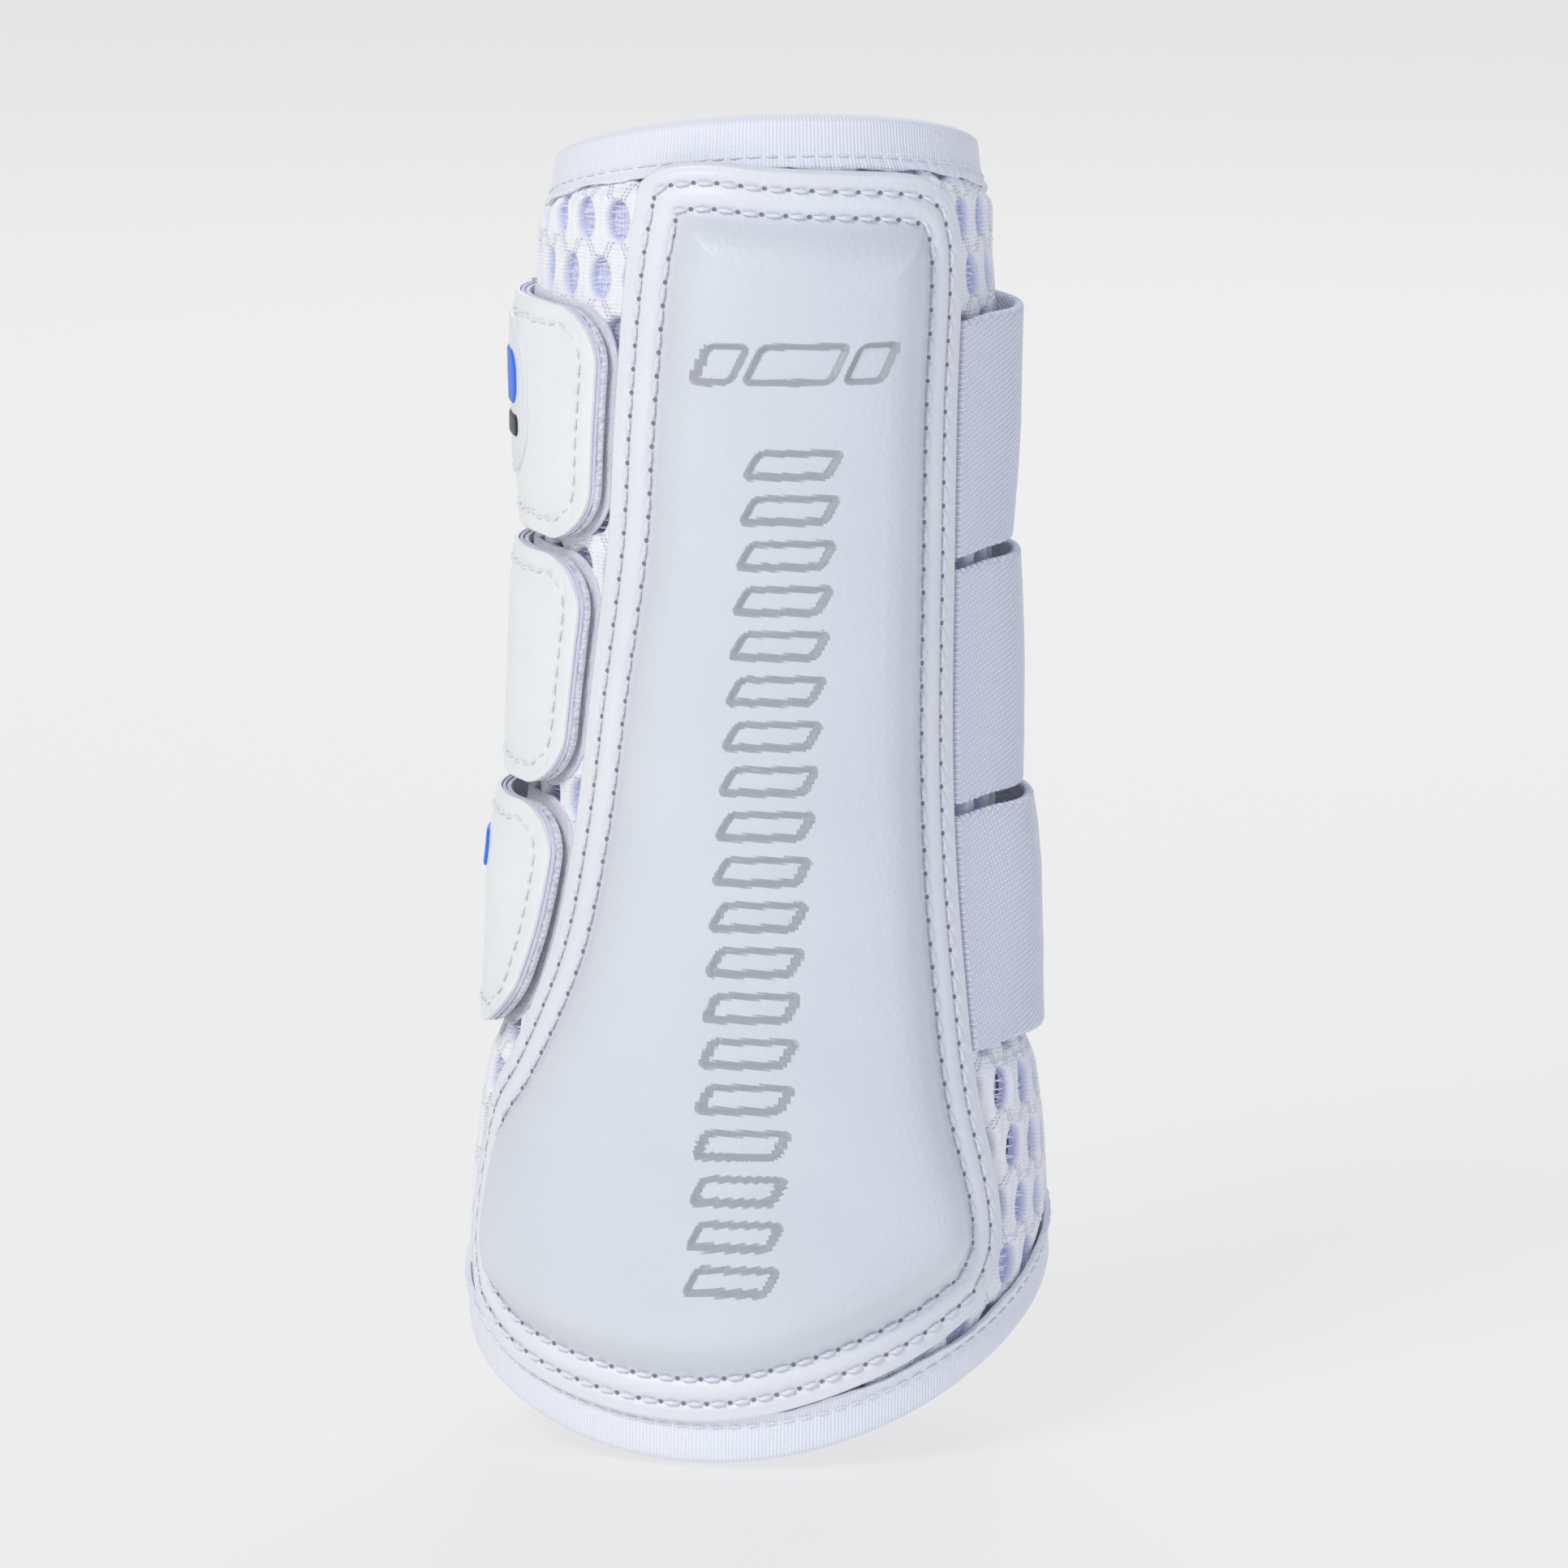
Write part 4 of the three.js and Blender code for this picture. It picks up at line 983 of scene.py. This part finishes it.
# ---- Moulded badges ----
# Soft PVC: a white plate with a blue and a black inlay on the top tab, and a small blue one on the bottom.
# They carry no lettering, only plain raised fields with rounded corners.
badge_plastics = {}
for title, low, high in (("white", "#E6EAEE", "#F1F4F6"), ("blue", "#1D66E6", "#2F7BFA"),
                         ("black", "#17181C", "#24262B")):
    pvc, tree, shader = new_material(f"moulded_soft_pvc_{title}", 0.42, IOR=1.52)
    cloth = add_node(tree, "Attribute", attribute_name="cloth").outputs["Vector"]
    mottle = add_node(tree, "TexNoise", {"Vector": cloth, "Scale": 800.0,
                      "Detail": 3.0}).outputs["Fac"]
    two_colours(tree, shader, mottle, low, high)
    relief(tree, shader, mottle, 0.05)
    badge_plastics[title] = pvc

# Each badge: its piece and node, colour, place and size (angle, height, width, tallness, corner), and layer.
BADGES = (("badge_field_white", "badge_plate", "white", (-87, 78, 25, 31, 12), 4.15, 1.2, "tab_1"),
          ("badge_bar_blue", "badge_blue_inlay", "blue", (-87, 81.5, 16, 10.5, 4), 5.3, 0.5, "tab_1"),
          ("badge_bar_black", "badge_black_inlay", "black", (-87, 72.2, 16, 4.2, 1.5), 5.3, 0.5, "tab_1"),
          ("badge_small_blue", "tab_3_badge", "blue", (-96, -11.0, 17, 7.5, 3), 4.15, 1.0, "tab_3"))
for name, node, colour, (middle, level, width, tall, corner), seat, thickness, body in BADGES:
    ups = tall / 2 * np.sin(np.linspace(-np.pi / 2, np.pi / 2, 33))
    across, up = np.meshgrid(np.sin(np.linspace(-np.pi / 2, np.pi / 2, 41)), ups)
    half = width / 2 - corner_cut(corner, tall / 2 - np.abs(up))
    height = level + up
    angle = middle + across * degrees_for(half, height)
    border = np.minimum(tall / 2 - np.abs(up), half * (1 - np.abs(across)))
    drop = 0.5 * rounding(border / 0.8)
    channel = 0.35 * np.exp(-((border - 1.8) / 0.35) ** 2) * (colour == "white")
    strap = STRAP_LEVELS[0 if body == "tab_1" else 2]
    seat = seat + left_stand(strap, angle, height - strap[0])
    outer = seat + thickness - drop - channel
    badge = cloth_piece(name, angle, height, outer, seat, badge_plastics[colour])
    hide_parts(node)
    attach(badge, body)

# ---- Studio ----
# A pale matt sweep for the floor and the wall behind it, a large soft light from the front left, a weak fill
# from the right, a rim light behind and even light from all round.
floor_top = -0.1235
bend = np.linspace(0, np.pi / 2, 12)[1:]
profile = np.concatenate([np.stack([np.linspace(-6, 3.0, 10), np.full(10, 0.0)], 1),
                          np.stack([3 + 2 * np.sin(bend), 2 - 2 * np.cos(bend)], 1), [[5.0, 6.0]]])
across = np.linspace(-8, 8, 5)
sweep_points = np.stack([np.broadcast_to(across, (len(profile), 5)), np.repeat(profile[:, :1], 5, 1),
                         np.repeat(profile[:, 1:], 5, 1) + floor_top], -1)
vertex = np.arange(len(profile) * 5).reshape(-1, 5)
quads = [vertex[:-1, :-1], vertex[:-1, 1:], vertex[1:, 1:], vertex[1:, :-1]]
sweep_faces = np.stack(quads, -1).reshape(-1, 4)
paper, tree, shader = new_material("paper_sweep", 0.95)
shader.inputs["Base Color"].default_value = linear("#707070")
shader.inputs["Emission Color"].default_value = linear("#FFFFFF")
shader.inputs["Emission Strength"].default_value = 0.67
sweep = make_piece("paper_sweep", sweep_points.reshape(-1, 3), sweep_faces, paper)

world = bpy.data.worlds.new("studio")
bpy.context.scene.world = world
world.use_nodes = True
world.node_tree.nodes["Background"].inputs[0].default_value = linear("#F2F4FF")
world.node_tree.nodes["Background"].inputs[1].default_value = 0.37
bpy.context.scene.view_settings.view_transform = "Standard"

for name, place, size, power, colour in (("key", (-1.3, -1.9, 1.7), 1.2, 37, "#FFFFFF"),
                                         ("fill", (1.5, -1.5, 0.25), 1.2, 7.5, "#C6D4FF"),
                                         ("rim", (0.2, 1.8, 1.4), 1.2, 14, "#FFFFFF")):
    light = bpy.data.lights.new(name, "AREA")
    light.energy, light.size, light.color = power, size, linear(colour)[:3]
    lamp = bpy.data.objects.new(name, light)
    lamp.location = place
    lamp.rotation_euler = (Vector((0, 0, 0)) - Vector(place)).to_track_quat("-Z", "Y").to_euler()
    bpy.context.scene.collection.objects.link(lamp)

AIM, DISTANCE, ELEVATION, ROLL = Vector((0.0041, 0, 0.0013)), 2.0, np.radians(9.5), np.radians(0.35)
lens = bpy.data.cameras.new("camera")
lens.lens, lens.sensor_width, lens.clip_end = 237.0, 36.0, 50.0
camera = bpy.data.objects.new("camera", lens)
camera.location = AIM + DISTANCE * Vector((0, -np.cos(ELEVATION), np.sin(ELEVATION)))
facing = Euler((np.pi / 2 - ELEVATION, 0, 0)).to_quaternion()
camera.rotation_euler = (facing @ Euler((0, 0, ROLL)).to_quaternion()).to_euler()
bpy.context.scene.collection.objects.link(camera)
bpy.context.scene.camera = camera
